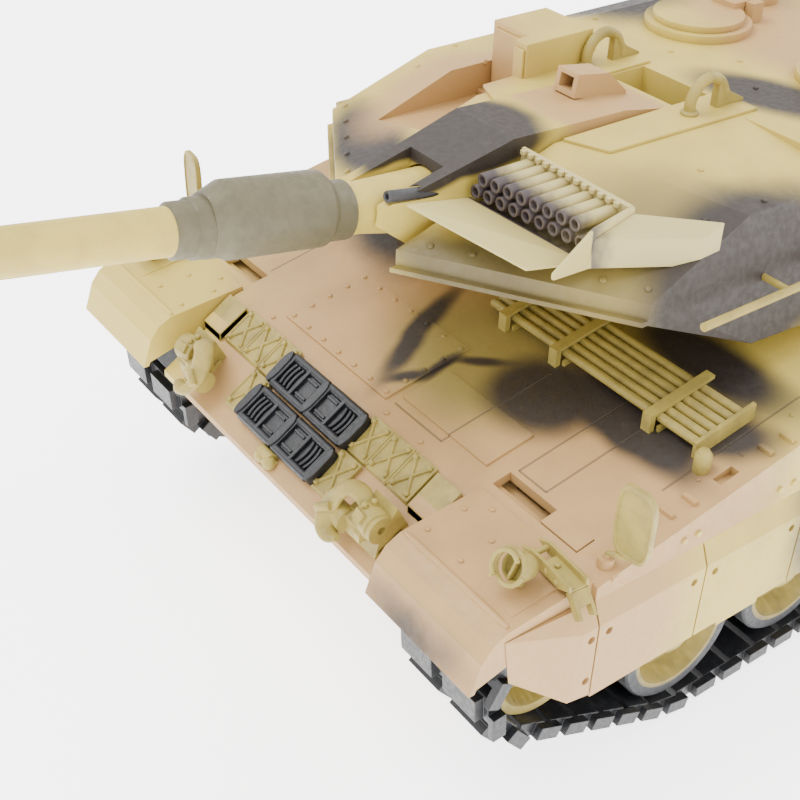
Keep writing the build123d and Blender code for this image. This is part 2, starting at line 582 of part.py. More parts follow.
# ================================================================ deck fittings
lamps = []
LX, LY = 105.2, -213.0
lz = 91.9
lamp = cyl("y", 5.0, LY - 4.5, LY + 2.5, LX, lz + 7.2)
lamp = lamp - cyl("y", 4.0, LY - 5, LY - 1.5, LX, lz + 7.2)
lamp = lamp + cyl("z", 1.4, lz - 0.2, lz + 4, LX, LY)
ring = (cyl("y", 6.6, LY - 5.2, LY - 3.8, LX, lz + 7.2) - cyl("y", 5.2, LY - 6, LY, LX, lz + 7.2))
lamp = lamp + ring + box(LX - 6.4, LX - 4.6, LY - 5.0, LY, lz + 6.6, lz + 7.8) \
    + box(LX + 4.6, LX + 6.4, LY - 5.0, LY, lz + 6.6, lz + 7.8)
lamp = lamp - cyl("y", 4.0, LY - 6, LY - 1.5, LX, lz + 7.2)
lamp = lamp - box(LX - 9, LX + 9, -222, -205, 85, 93.2 - 0.6)
pad = box(LX - 3.5, LX + 3.5, LY - 3, LY + 3, 92.0, 93.4) - block([(x, y, z) for x in (90, 120) for y, z in
                                                                    ((-222, 85), (-205, 85), (-222, 91.6), (-205, 94.0))])
lamp = lamp - block([(x, y, z) for x in (90, 120) for y, z in ((-222, 85), (-205, 85), (-222, 91.6), (-205, 94.0))])
lamps += both(union(lamp, pad).solids()[0] if len(union(lamp, pad).solids()) == 1 else union(lamp, pad))
put("headlamps", lamps)

brackets = []
gz = glacis(-200) + 1.4
strap = block([(x, y, z) for x in (HULL_HALF - 19.5, HULL_HALF + 0.5)
               for y, z in ((-204.6, 94.2), (-199.4, 95.2), (-204.6, 96.4), (-199.4, 97.4))])
strap = strap - box(HULL_HALF - 21, HULL_HALF - 14, -203.2, -200.8, 90, 99)
leg = block([(HULL_HALF + x, y, z) for x, z in ((0.5, 97.0), (0.5, 94.6), (5.6, 86.0), (4.2, 85.6))
             for y in (-205, -199)])
slot = box(HULL_HALF + 1.5, HULL_HALF + 9, -203.4, -200.6, 80, 93.4)
foot = box(HULL_HALF - 18.5, HULL_HALF - 2, -203.8, -200.4, glacis(-203.8) + 0.2, 95.4)
strap = union(strap, leg, foot) - slot - guard
strap = max(strap.solids(), key=lambda s: s.volume)
brackets += both(strap)
put("folding_brackets", brackets)

rods = []
ROD_R = 1.5
ROD_PITCH = 3.5
for k in range(6):
    ry = -142.5 + k * ROD_PITCH
    rods.append(cyl("x", ROD_R, 6, 100, ry, glacis(ry) + 3.4))
plate = block([(x, y, z) for x in (100, 101.4) for y, z in ((-145, glacis(-145)), (-121, glacis(-121)),
                                                           (-145, glacis(-145) + 5.6), (-121, glacis(-121) + 5.6))])
rack = [plate]
for bx in (16, 41, 83):
    arm = block([(x, y, glacis(y) + t) for x in (bx - 1.8, bx + 1.8) for y in (-145.6, -121) for t in (5.1, 6.3)])
    arm = arm + block([(x, y, glacis(y) + t) for x in (bx - 1.8, bx + 1.8) for y in (-147, -145) for t in (0, 6.3)])
    rack.append(arm)
    under_bar = block([(x, y, glacis(y) + t) for x in (bx + 2.2, bx + 3.4) for y in (-144.6, -122.5) for t in (0, 1.8)])
    rack.append(under_bar)
post = turned_z([(0.01, 101), (2.6, 101), (2.6, 107.6), (1.6, 109.2), (0.01, 109.4)], 105.5, -146.5)
post = post - block([(x, y, z) for x in (100, 110) for y, z in ((-150, 90), (-140, 90), (-150, glacis(-150)),
                                                               (-140, glacis(-140)))])
put("rod_rack", rods, rack, both(post))

# folding wing mirrors
for side, sx in (("left", 1), ("right", -1)):
    bx, by = sx * MIRROR_AT[0], MIRROR_AT[1]
    bz = glacis(by)
    hub = cyl("z", 1.9, bz + 3.0, bz + 5.2, bx, by) - cyl("z", MIRROR_PIN_R + RUN, bz, bz + 4.2, bx, by)
    reach = block([(bx + sx * dx, by + dy, z) for dx, dy in ((1.2, -0.6), (1.2, 0.8), (7.2, 1.0), (7.2, 2.2))
                   for z in (bz + 3.4, bz + 5.0)])
    head = Pos(bx + sx * 6.2, by + 2.4, bz + 17.0) * Box(13.0, 1.8, 25.0)
    head = fillet(head.edges().filter_by(Axis.Y), 4.0)
    put("mirror_" + side, union(hub, reach, head))

# ================================================================ inner works
put("battery_pack", box(-22, 22, -20, 118, BELLY_Z + WALL, BELLY_Z + WALL + 24))
board = box(-40, 40, -120, -40, BELLY_Z + WALL + 6, BELLY_Z + WALL + 7.6)
legs = [cyl("z", 2.2, BELLY_Z + WALL, BELLY_Z + WALL + 6, x, y) for x in (-36, 36) for y in (-116, -44)]
chips = [box(x, x + 12, y, y + 10, BELLY_Z + WALL + 7.6, BELLY_Z + WALL + 10.5) for x in (-30, -6, 18)
         for y in (-108, -76)]
put("control_board", board, legs, chips)
for sx in (1, -1):
    gear_side = [(SPROCKET_Y - 26, BELLY_Z + WALL), (SPROCKET_Y - 12, BELLY_Z + WALL),
                 (SPROCKET_Y + 3.5, END_Z + 1), (SPROCKET_Y + 3.5, END_Z + 17), (SPROCKET_Y - 26, END_Z + 17)]
    gear = prism("x", gear_side, sx * 8, sx * (TUB_HALF - WALL))
    gear = gear + cyl("y", 11, SPROCKET_Y - 66, SPROCKET_Y - 26, sx * 36, 52)
    x0, x1 = sorted((sx * (TUB_HALF - WALL - 2), sx * (WHEEL_OUT - 7)))
    gear = gear + cyl("x", SHAFT_R, x0, x1, SPROCKET_Y, END_Z)
    put("gearmotors", gear)
put("speaker", cyl("z", 24, BELLY_Z + WALL, BELLY_Z + WALL + 12, 0, -155) - cyl("z", 19, BELLY_Z + WALL + 8, 90, 0, -155))

rear = []
for sx in (-1, 1):
    rear.append(cyl("z", 21, DECK_Z + 1.6, DECK_Z + 3.0, sx * 66, 186) - cyl("z", 18, DECK_Z + 1, DECK_Z + 4, sx * 66, 186))
    for k in range(5):
        w = 16.8 * math.cos(math.asin((k - 2) * 6.5 / 18.0))
        rear.append(box(sx * 66 - w, sx * 66 + w, 186 + (k - 2) * 6.5 - 1, 186 + (k - 2) * 6.5 + 1, DECK_Z + 1.6, DECK_Z + 2.6))
    rear.append(box(sx * 86, sx * 104, STERN_Y, STERN_Y + 3.5, 92, 102))
    rear.append(box(sx * 40, sx * 70, STERN_Y, STERN_Y + 4.5, 90, 104))
    rear.append(box(sx * 26, sx * 34, STERN_Y, STERN_Y + 7, 66, 78))
put("rear_fittings", rear)

# ================================================================ turret
R0, R1 = SHELL_FRONT_Y, SHELL_REAR_Y
shell = block([(sx * SHELL_MID_HALF, y, SHELL_MID_Z) for sx in (-1, 1) for y in (R0, 56)]
              + [(sx * 70, R1, SHELL_MID_Z) for sx in (-1, 1)]
              + [(sx * SHELL_TOP_HALF, y, RIDGE_Z) for sx in (-1, 1) for y in (R0, 56)]
              + [(sx * 66, R1 - 3, RIDGE_Z) for sx in (-1, 1)]
              + [(sx * SHELL_LOW_HALF, y, TUR_BASE) for sx in (-1, 1) for y in (R0, 52)]
              + [(sx * 64, R1 - 6, TUR_BASE) for sx in (-1, 1)])
cap = block([(sx * (SHELL_TOP_HALF), y, RIDGE_Z) for sx in (-1, 1) for y in (R0, 56)]
            + [(sx * 66, R1 - 3, RIDGE_Z) for sx in (-1, 1)]
            + [(sx * (SHELL_TOP_HALF - 14), y, ROOF_Z) for sx in (-1, 1) for y in (R0, 50)]
            + [(sx * 56, R1 - 8, ROOF_Z) for sx in (-1, 1)])
turret = shell + cap
front_roof = box(-34, 34, -124, R0, 118, ROOF_Z)
turret = turret + front_roof
turret = turret - box(-SLOT_HALF, SLOT_HALF, -210, SLOT_REAR_Y, 100, 180)
turret = turret - box(-56, 56, SLOT_REAR_Y + WALL + 6, 112, TUR_BASE + 2.5, RIDGE_Z - 1)
turret = turret - cyl("z", 40, 100, TUR_BASE + 4, 0, RING_Y)
basket = turned_z([(50, 96), (RING_R, 96), (RING_R, TUR_BASE), (40.0, TUR_BASE), (40.0, TUR_BASE - 2), (50, TUR_BASE - 2)],
                  0, RING_Y)
basket = basket - box(-SLOT_HALF - 1, SLOT_HALF + 1, -210, SLOT_REAR_Y, 90, TUR_BASE + 1)
for sx in (-1, 1):
    x0, x1 = sorted((sx * (SLOT_HALF - 1), sx * (SLOT_HALF + 6)))
    turret = turret - cyl("x", TRUNNION_R + RUN, x0, x1, PIVOT_Y, PIVOT_Z)

# wedge-shaped add-on armour, one block each side of the gun
wedge = block([(SLOT_HALF, NOSE_IN_Y, NOSE_LOW_Z), (NOSE_OUT_X, NOSE_OUT_Y, NOSE_LOW_Z),
               (SLOT_HALF, NOSE_IN_Y, NOSE_TOP_Z), (NOSE_OUT_X, NOSE_OUT_Y, NOSE_TOP_Z),
               (SLOT_HALF, ROOF_FRONT_IN_Y, ROOF_Z), (34, ROOF_FRONT_IN_Y + 5.5, ROOF_Z),
               (SHELL_TOP_HALF, RIDGE_Y, RIDGE_Z), (SLOT_HALF, R0, ROOF_Z), (34, R0, ROOF_Z),
               (SHELL_TOP_HALF, R0, RIDGE_Z), (SLOT_HALF, R0, 116), (SHELL_LOW_HALF, R0, 116),
               (SLOT_HALF, -118, 118), (78, -104, 118), (SHELL_MID_HALF, RIDGE_Y, 122),
               (SHELL_MID_HALF, R0, SHELL_MID_Z)])
wedge = wedge - box(10, 34, -124, R0 + 1, 118, 170)
right_wedge = other_side(wedge)
pit = box(SLOT_HALF - 1, 63.6, TUBE_FRONT_Y - 30, TUBE_REAR_Y + 1.4, 152.0, 175)
left_wedge = wedge - pit
# flange along the nose edge
def flange(sx):
    a = (SLOT_HALF, NOSE_IN_Y, 0)
    b = (NOSE_OUT_X, NOSE_OUT_Y, 0)
    fl = block([(sx * a[0], a[1] - 2.2, NOSE_LOW_Z), (sx * b[0], b[1] - 2.2, NOSE_LOW_Z),
                (sx * a[0], a[1] - 2.2, NOSE_LOW_Z + 1.6), (sx * b[0], b[1] - 2.2, NOSE_LOW_Z + 1.6),
                (sx * a[0], a[1], NOSE_LOW_Z), (sx * b[0], b[1], NOSE_LOW_Z),
                (sx * a[0], a[1], NOSE_LOW_Z + 1.6), (sx * b[0], b[1], NOSE_LOW_Z + 1.6)])
    return fl


SIGHT_X = (-52.0, -27.0)
SIGHT_Y = (-107.0, -77.0)
SIGHT_TOP = 178.0
SIGHT_STEP_X = -33.5   # the outboard part is set back
SIGHT_STEP = 6.0
notch = box(SIGHT_X[0], SIGHT_X[1], -150, SIGHT_Y[1], 152.0, 185)
right_wedge = right_wedge - notch
turret = turret - notch
put("turret_shell", turret, basket)
put("wedge_armour", left_wedge + flange(1), right_wedge + flange(-1))

sight = box(SIGHT_X[0], SIGHT_X[1], SIGHT_Y[0], SIGHT_Y[1], 152.0, SIGHT_TOP)
sight = sight - box(SIGHT_X[0], SIGHT_STEP_X, SIGHT_Y[0], SIGHT_Y[0] + SIGHT_STEP, 154.0, SIGHT_TOP)
door_y = SIGHT_Y[0] + SIGHT_STEP
door = box(SIGHT_X[0] + 1.6, SIGHT_STEP_X - 1.0, door_y - 1.2, door_y, 156.0, SIGHT_TOP - 2.0)
door2 = box(SIGHT_STEP_X + 0.8, SIGHT_X[1] - 0.8, SIGHT_Y[0] - 1.0, SIGHT_Y[0], 154.0, SIGHT_TOP - 2.0)
put("sight_housing", sight, door, door2)

# smoke launchers
tubes = []
for n, x0, z in ((TUBES_LOW, TUBE_FIRST_X, TUBE_LOW_Z), (TUBES_HIGH, TUBE_FIRST_X + TUBE_PITCH / 2, TUBE_HIGH_Z)):
    for k in range(n):
        x = x0 + k * TUBE_PITCH
        front = TUBE_FRONT_Y + TUBE_SLANT * (x - TUBE_FIRST_X)
        t = cyl("y", TUBE_OD / 2, front, TUBE_REAR_Y, x, z)
        t = t - cyl("y", TUBE_BORE / 2, front - 1, TUBE_REAR_Y - 4, x, z)
        tubes.append(t)
FLAP_T = 0.9
flap_top = ((SLOT_HALF, -187.5, 160.0), (SLOT_HALF, -163.5, 155.6), (55.0, -174.6, 153.2), (61.5, -157.5, 153.2))
tray = block([(x, y, z + dz) for x, y, z in flap_top for dz in (0, -FLAP_T)])
floor_plate = block([(x, y, z) for x, y in ((SLOT_HALF, -163.3), (62.4, -157.3), (62.4, TUBE_REAR_Y),
                                            (SLOT_HALF, TUBE_REAR_Y)) for z in (152.0, 153.2)])
floor_plate = floor_plate - tray
back = box(SLOT_HALF, 62.4, TUBE_REAR_Y, TUBE_REAR_Y + 1.4, 152.0, 167.0)
rail = [box(SLOT_HALF + 1 + k * 3.4, SLOT_HALF + 2.8 + k * 3.4, TUBE_REAR_Y - 1.4, TUBE_REAR_Y, 165.5, 167.0)
        for k in range(13)]
end_side = [(-172, 152.6), (-172, 154.5), (-158, 164.5), (TUBE_REAR_Y + 1.4, 167.0), (TUBE_REAR_Y + 1.4, 152.0),
            (-156, 152.0)]
end = prism("x", end_side, 62.4, 63.6)
fin = block([(63.6, -160, 152.6), (63.6, -144, 152.6), (63.6, -144, 165.4), (63.6, -158, 161.5),
             (79.0, -130.5, 151.5), (79.0, -122.5, 163.0), (79.0, -129, 160.0), (79.0, -122.5, 152.5)])
fin = fin - left_wedge
put("smoke_launchers", tubes, tray, floor_plate, back, rail, end, fin.solids()[0])


def bow_hook(sx):
    """Bent lifting hook on a triangular gusset."""
    x = sx * 24.5
    pts = [(-81, ROOF_Z), (-81, ROOF_Z + 5), (-78.5, ROOF_Z + 9.5), (-74, ROOF_Z + 11), (-69, ROOF_Z + 9),
           (-60, ROOF_Z + 1)]
    out = None
    r = 1.5
    for (y0, z0), (y1, z1) in zip(pts, pts[1:]):
        d = Vector(0, y1 - y0, z1 - z0)
        pl = Plane(origin=(x, y0, z0), z_dir=(d.X, d.Y, d.Z))
        c = Solid.make_cylinder(r, d.length, pl)
        out = c if out is None else out + c
        out = out + Pos(x, y1, z1) * Sphere(r)
    gus = prism("x", [(-72, ROOF_Z), (-58, ROOF_Z), (-58, ROOF_Z + 1), (-69, ROOF_Z + 9)], x - 1.2, x + 1.2)
    out = out + gus + cyl("z", 2.4, ROOF_Z, ROOF_Z + 0.8, x, -81)
    return out - box(x - 5, x + 5, -95, -50, ROOF_Z - 5, ROOF_Z)


put("lifting_hooks", bow_hook(1), bow_hook(-1))

rails = []
for sx in (-1, 1):
    rail_bar = cyl("y", 1.3, -140, 30, sx * 92.0, 141)
    posts = None
    for y in (-104, -84, -60, -30, 0, 24):
        p = cyl("x", 1.1, min(sx * 78, sx * 92), max(sx * 78, sx * 92), y, 141)
        rail_bar = rail_bar + p
    rail_bar = rail_bar - (left_wedge if sx > 0 else right_wedge) - turret
    rail_bar = max(rail_bar.solids(), key=lambda s: s.volume)
    rails.append(rail_bar)
put("grab_rails", rails)

bustle = []
B0, B1 = SHELL_REAR_Y + 0.0, SHELL_REAR_Y + 26.0
for z in (126, 142, 158):
    b = box(-66, -63, B0 - 4, B1, z, z + 2) + box(63, 66, B0 - 4, B1, z, z + 2) + box(-66, 66, B1 - 2, B1, z, z + 2)
    bustle.append(b)
frame = bustle[0] + bustle[1] + bustle[2]
for x in (-66, -33, -1, 31, 64):
    frame = frame + box(x, x + 2, B1 - 2, B1, 126, 160)
frame = frame + box(-66, 66, B0 - 4, B1, 124.5, 126)
frame = frame - turret
frame = max(frame.solids(), key=lambda s: s.volume)
put("bustle_rack", frame)

ant = []
for sx in (-1, 1):
    ant.append(turned_z([(0.01, ROOF_Z), (3.2, ROOF_Z), (2.6, ROOF_Z + 7), (1.0, ROOF_Z + 9), (0.7, ROOF_Z + 11),
                         (0.5, ROOF_Z + 52), (0.01, ROOF_Z + 52)], sx * 48, 100))
put("antennas", ant)

# ---- hatches, panoramic sight and roof gun
CMD = (-34.0, -16.0)
LDR = (34.0, -10.0)
HATCH_R = 17.0
for name, (hx, hy), sy in (("commander_hatch", CMD, 1), ("loader_hatch", LDR, 1)):
    seat = cyl("z", HATCH_R + 3, ROOF_Z, ROOF_Z + 3.0, hx, hy) - cyl("z", HATCH_R - 3, ROOF_Z - 1, ROOF_Z + 4, hx, hy)
    lugs = [box(hx + dx - 2, hx + dx + 2, hy + HATCH_R + 1.6, hy + HATCH_R + 7.5, ROOF_Z, ROOF_Z + 7.6) for dx in (-8, 8)]
    bore = cyl("x", 1.3 + RUN, hx - 12, hx + 12, hy + HATCH_R + 5, ROOF_Z + 5.5)
    seat = union(seat, *lugs) - cyl("x", 1.3, hx - 12, hx + 12, hy + HATCH_R + 5, ROOF_Z + 5.5)
    pin = cyl("x", 1.3, hx - 10, hx + 10, hy + HATCH_R + 5, ROOF_Z + 5.5)
    put("turret_shell", seat + pin)
    lid = cyl("z", HATCH_R, ROOF_Z + 3.1, ROOF_Z + 5.4, hx, hy)
    ear = box(hx - 5.6, hx + 5.6, hy + HATCH_R - 4, hy + HATCH_R + 5, ROOF_Z + 3.5, ROOF_Z + 7.5)
    ear = ear + cyl("x", 2.6, hx - 5.6, hx + 5.6, hy + HATCH_R + 5, ROOF_Z + 5.5)
    put(name, (lid + ear) - bore)

PAN = (-44.0, 26.0)
put("turret_shell", cyl("z", 10, ROOF_Z, ROOF_Z + 4, *PAN) - cyl("z", 6 + RUN, ROOF_Z + 1, ROOF_Z + 5, *PAN))
pan = cyl("z", 6, ROOF_Z + 1.05, ROOF_Z + 6, *PAN) + cyl("z", 9, ROOF_Z + 4.2, ROOF_Z + 9, *PAN)
pan = pan + box(PAN[0] - 7, PAN[0] + 7, PAN[1] - 8, PAN[1] + 8, ROOF_Z + 8.5, ROOF_Z + 24)
pan = pan - box(PAN[0] - 5, PAN[0] + 5, PAN[1] - 9, PAN[1] - 6, ROOF_Z + 12, ROOF_Z + 21)
put("panoramic_sight", pan)

MG = (60.0, 6.0)
put("turret_shell", cyl("z", 6, ROOF_Z, ROOF_Z + 4, *MG) - cyl("z", 2.5 + RUN, ROOF_Z - 1, ROOF_Z + 5, *MG))
mg_post = cyl("z", 2.5, ROOF_Z + 0.05, ROOF_Z + 16, *MG) + cyl("z", 4.6, ROOF_Z + 4.1, ROOF_Z + 6, *MG)
mg_post = mg_post + box(MG[0] - 4.6, MG[0] + 4.6, MG[1] - 3, MG[1] + 3, ROOF_Z + 8, ROOF_Z + 11)
for dx in (-1, 1):
    mg_post = mg_post + box(MG[0] + dx * 3.2, MG[0] + dx * 5.2, MG[1] - 3, MG[1] + 3, ROOF_Z + 8, ROOF_Z + 22)
mg_post = mg_post - box(MG[0] - 3.2, MG[0] + 3.2, MG[1] - 4, MG[1] + 4, ROOF_Z + 11, ROOF_Z + 30)
mg_z = ROOF_Z + 19.5
mg_post = mg_post - cyl("x", 1.2 + RUN, MG[0] - 7, MG[0] + 7, MG[1], mg_z)
put("mg_mount", mg_post)
gun = box(MG[0] - 2.8, MG[0] + 2.8, MG[1] - 12, MG[1] + 14, mg_z - 2.6, mg_z + 2.8)
gun = gun + cyl("y", 1.3, MG[1] - 46, MG[1] - 10, MG[0], mg_z) + cyl("y", 2.0, MG[1] - 30, MG[1] - 10, MG[0], mg_z)
gun = gun + cyl("x", 1.2, MG[0] - 5.2, MG[0] + 5.2, MG[1], mg_z)
gun = gun + box(MG[0] + 2.8, MG[0] + 9.6, MG[1] - 10.5, MG[1] - 6.0, mg_z - 4, mg_z + 2)
put("machine_gun", gun)

# ================================================================ gun mount and barrel
mant_side = [(8, -21), (8, 28.6), (-16.5, 29.2), (-63.2, 23.1), (-MANT_REACH, 4.1), (-MANT_REACH, -2.1),
             (-96, -8.3), (-60, -20)]
mant = prism("x", mant_side, -MANT_HALF_REAR, MANT_HALF_REAR)
plan = [(-MANT_HALF_REAR, 9), (MANT_HALF_REAR, 9), (MANT_HALF_REAR, -66), (MANT_HALF_FRONT, -MANT_REACH - 1),
        (-MANT_HALF_FRONT, -MANT_REACH - 1), (-MANT_HALF_REAR, -66)]
mant = mant & prism("z", plan, -40, 40)
mant = mant - cyl("y", SLEEVE_R + RUN, -70, 10, 0, 0)
cone_cut = turned_gun([(0.01, 66), (CONE_REAR_R + 0.6, 66), (CONE_REAR_R + 0.6, 81), (NECK_R + 1.0, 108),
                       (0.01, 108)])
mant = mant - cone_cut
mant = mant - box(-8.3, 8.3, -110, -84, 0, 30)
mant = mant - cyl("y", COAX_R + 0.6, -110, -55, *COAX_AT)
trunnion = cyl("x", TRUNNION_R, -(SLOT_HALF + 5.6), SLOT_HALF + 5.6, 0, 0)
mant = mant + trunnion - cyl("y", SLEEVE_R + RUN, -70, 10, 0, 0)
hood = prism("x", [(-26, 28.6), (-26, 36.5), (-12, 36.5), (-2, 30), (-2, 28.6)], -10.5, -0.5)
hood = hood - prism("x", [(-27, 30.5), (-27, 35), (-18, 35), (-18, 30.5)], -8.6, -2.4)
mant = mant + hood
put("gun_mantlet", gun_place(mant))
coax = cyl("y", COAX_R, -105.7, -55, *COAX_AT) - cyl("y", COAX_R - 0.8, -109, -90, *COAX_AT)
put("coax_tube", gun_place(coax))

bar = turned_gun([(BORE_R, -8), (SLEEVE_R, -8), (SLEEVE_R, 74), (CONE_REAR_R, 74), (CONE_REAR_R, 80),
                  (NECK_R, 108), (NECK_R, NECK_A), (COLLAR_R, NECK_A + 0.5), (COLLAR_R, EXTR_END_A),
                  (RING_1_R, EXTR_END_A), (RING_1_R, RING_1_A - 0.5), (RING_2_R, RING_1_A),
                  (RING_2_R, RING_2_A - 0.6), (TUBE_R0, RING_2_A), (TUBE_R1, TUBE_END_A),
                  (TUBE_R1, MUZZLE_A - 14), (TUBE_R1 + 0.8, MUZZLE_A - 14), (TUBE_R1 + 0.8, MUZZLE_A),
                  (BORE_R, MUZZLE_A)])
extractor = turned_gun([(BORE_R + 2, EXTR_A0), (COLLAR_R + 0.6, EXTR_A0), (EXTR_R, EXTR_A0 + 2.4),
                        (EXTR_R, EXTR_A1), (COLLAR_R - 0.6, EXTR_END_A), (BORE_R + 2, EXTR_END_A)])
bar = bar + Pos(0, 0, EXTR_OFF) * extractor
bar = bar - cyl("y", BORE_R, -MUZZLE_A - 1, 9, 0, 0)
bar = bar + Pos(0, -MUZZLE_A + 7, TUBE_R1 + 2.0) * Box(4.4, 9, 3.6)
put("gun_barrel", gun_place(bar))

# the turret and all it carries sit on the deck, whatever its height
ON_TURRET = ("turret_shell", "wedge_armour", "smoke_launchers", "lifting_hooks", "grab_rails", "bustle_rack",
             "sight_housing", "antennas", "gun_mantlet", "coax_tube", "gun_barrel", "commander_hatch",
             "loader_hatch", "panoramic_sight", "mg_mount", "machine_gun")
for name in ON_TURRET:
    parts[name] = [Pos(0, 0, DECK_Z - DRAWN_DECK_Z) * s for s in parts[name]]

# ---------------------------------------------------------------- export
os.makedirs("parts", exist_ok=True)
for name, solids in parts.items():
    export_step(Compound(children=list(solids)) if len(solids) > 1 else solids[0], "parts/%s.step" % name)
print(len(parts), "nodes,", len(places), "links a side, step", round(link_step, 3))
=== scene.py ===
import math

import bpy
import numpy as np
from mathutils import Matrix, Vector


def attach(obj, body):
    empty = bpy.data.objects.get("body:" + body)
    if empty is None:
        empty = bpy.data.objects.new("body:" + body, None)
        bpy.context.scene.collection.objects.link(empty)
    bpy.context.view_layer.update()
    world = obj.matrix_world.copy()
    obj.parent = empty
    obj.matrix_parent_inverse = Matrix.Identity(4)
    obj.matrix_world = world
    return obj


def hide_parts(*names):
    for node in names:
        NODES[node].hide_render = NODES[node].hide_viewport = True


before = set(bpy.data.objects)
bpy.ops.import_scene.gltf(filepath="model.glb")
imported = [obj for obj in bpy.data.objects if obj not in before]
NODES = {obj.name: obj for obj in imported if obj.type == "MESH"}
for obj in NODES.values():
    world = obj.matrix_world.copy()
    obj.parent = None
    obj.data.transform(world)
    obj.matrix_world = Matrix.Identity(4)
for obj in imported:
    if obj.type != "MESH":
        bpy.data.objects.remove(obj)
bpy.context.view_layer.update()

MM = 0.001

# sprayed colours, scene-linear
SAND = (0.50, 0.375, 0.070)
PINK = (0.40, 0.235, 0.085)
OLIVE = (0.22, 0.165, 0.040)
DARK = (0.022, 0.015, 0.011)
DETAIL = (0.31, 0.235, 0.048)
EXTRACTOR = (0.100, 0.085, 0.042)
TRACK = (0.004, 0.0045, 0.006)
RUBBER = (0.030, 0.031, 0.034)


# ------------------------------------------------------------------ shader arithmetic
class Wire:
    """A number or vector on its way through a shader: it adds, subtracts, multiplies and divides."""

    def __init__(self, paint, socket, vector=False):
        self.paint, self.socket, self.vector = paint, socket, vector

    def _op(self, op, other, swap=False):
        vector = self.vector or getattr(other, "vector", False) or isinstance(other, tuple)
        a, b = (other, self) if swap else (self, other)
        kind = "ShaderNodeVectorMath" if vector else "ShaderNodeMath"
        out = "Vector" if vector else "Value"
        return Wire(self.paint, self.paint.node(kind, {0: a, 1: b}, operation=op).outputs[out], vector)

    def __add__(self, o):
        return self._op("ADD", o)

    def __radd__(self, o):
        return self._op("ADD", o)

    def __sub__(self, o):
        return self._op("SUBTRACT", o)

    def __rsub__(self, o):
        return self._op("SUBTRACT", o, True)

    def __mul__(self, o):
        return self._op("MULTIPLY", o)

    def __rmul__(self, o):
        return self._op("MULTIPLY", o)

    def __truediv__(self, o):
        return self._op("DIVIDE", o)

    def __pow__(self, o):
        return self._op("POWER", o)

    def size(self):
        n = self.paint.node("ShaderNodeVectorMath", {0: self}, operation="LENGTH")
        return Wire(self.paint, n.outputs["Value"])

    def absolute(self):
        return self._op("ABSOLUTE", 0.0)

    def ramp(self, low, high, to_low=0.0, to_high=1.0):
        """Smooth step from to_low at low to to_high at high."""
        n = self.paint.node("ShaderNodeMapRange", {"Value": self, "From Min": low, "From Max": high,
                                                   "To Min": to_low, "To Max": to_high},
                            interpolation_type="SMOOTHSTEP")
        return Wire(self.paint, n.outputs["Result"])


class Paint:
    """One procedural material, measured in millimetres of the model."""

    def __init__(self, name):
        self.mat = bpy.data.materials.new(name)
        self.mat.use_nodes = True
        self.tree = self.mat.node_tree
        self.tree.nodes.clear()
        at = self.node("ShaderNodeTexCoord", {}).outputs["Object"]
        self.at = Wire(self, at, True) * (1000.0, 1000.0, 1000.0)

    def node(self, kind, sockets, **settings):
        n = self.tree.nodes.new(kind)
        for key, value in settings.items():
            setattr(n, key, value)
        for key, value in sockets.items():
            if isinstance(value, Wire):
                value = value.socket
            if isinstance(value, bpy.types.NodeSocket):
                self.tree.links.new(value, n.inputs[key])
            else:
                n.inputs[key].default_value = value
        return n

    def axis(self, letter):
        n = self.node("ShaderNodeSeparateXYZ", {0: self.at})
        return Wire(self, n.outputs[letter])

    def noise(self, grain, detail=2.0, rough=0.5, stretch=(1.0, 1.0, 1.0)):
        """Noise whose features are about grain millimetres across, from 0 to 1."""
        n = self.node("ShaderNodeTexNoise", {"Vector": self.at * stretch, "Scale": 1.0 / grain,
                                             "Detail": detail, "Roughness": rough})
        return Wire(self, n.outputs["Fac"])

    def blob(self, centre, radii, turn=0.0, soft=0.35, at=None):
        """Sprayed patch: 1 inside an ellipsoid, fading to 0 over soft of its radius."""
        n = self.node("ShaderNodeMapping", {"Vector": at or self.at, "Location": centre,
                                            "Rotation": (0.0, 0.0, math.radians(turn)), "Scale": radii},
                      vector_type="TEXTURE")
        reach = Wire(self, n.outputs["Vector"], True).size()
        return reach.ramp(1.0 - soft, 1.0 + soft, 1.0, 0.0)

    def blend(self, under, over, mask):
        n = self.node("ShaderNodeMix", {"Factor": mask}, data_type="RGBA")
        for socket, colour in (("A_Color", under), ("B_Color", over)):
            target = next(i for i in n.inputs if i.identifier == socket)
            if isinstance(colour, tuple):
                target.default_value = (*colour, 1.0)
            else:
                self.tree.links.new(colour, target)
        return next(o for o in n.outputs if o.identifier == "Result_Color")

    def done(self, colour, rough, height=None, depth=0.1, **shader):
        """Ends the material; height times depth millimetres is its relief."""
        bsdf = self.node("ShaderNodeBsdfPrincipled", {})
        for key, value in shader.items():
            bsdf.inputs[key.replace("_", " ")].default_value = value
        if isinstance(colour, tuple):
            bsdf.inputs["Base Color"].default_value = (*colour, 1.0)
        else:
            self.tree.links.new(colour, bsdf.inputs["Base Color"])
        if isinstance(rough, Wire):
            self.tree.links.new(rough.socket, bsdf.inputs["Roughness"])
        else:
            bsdf.inputs["Roughness"].default_value = rough
        if height is not None:
            bump = self.node("ShaderNodeBump", {"Height": height, "Distance": depth * MM, "Strength": 1.0})
            self.tree.links.new(bump.outputs["Normal"], bsdf.inputs["Normal"])
        out = self.node("ShaderNodeOutputMaterial", {})
        self.tree.links.new(bsdf.outputs["BSDF"], out.inputs["Surface"])
        return self.mat


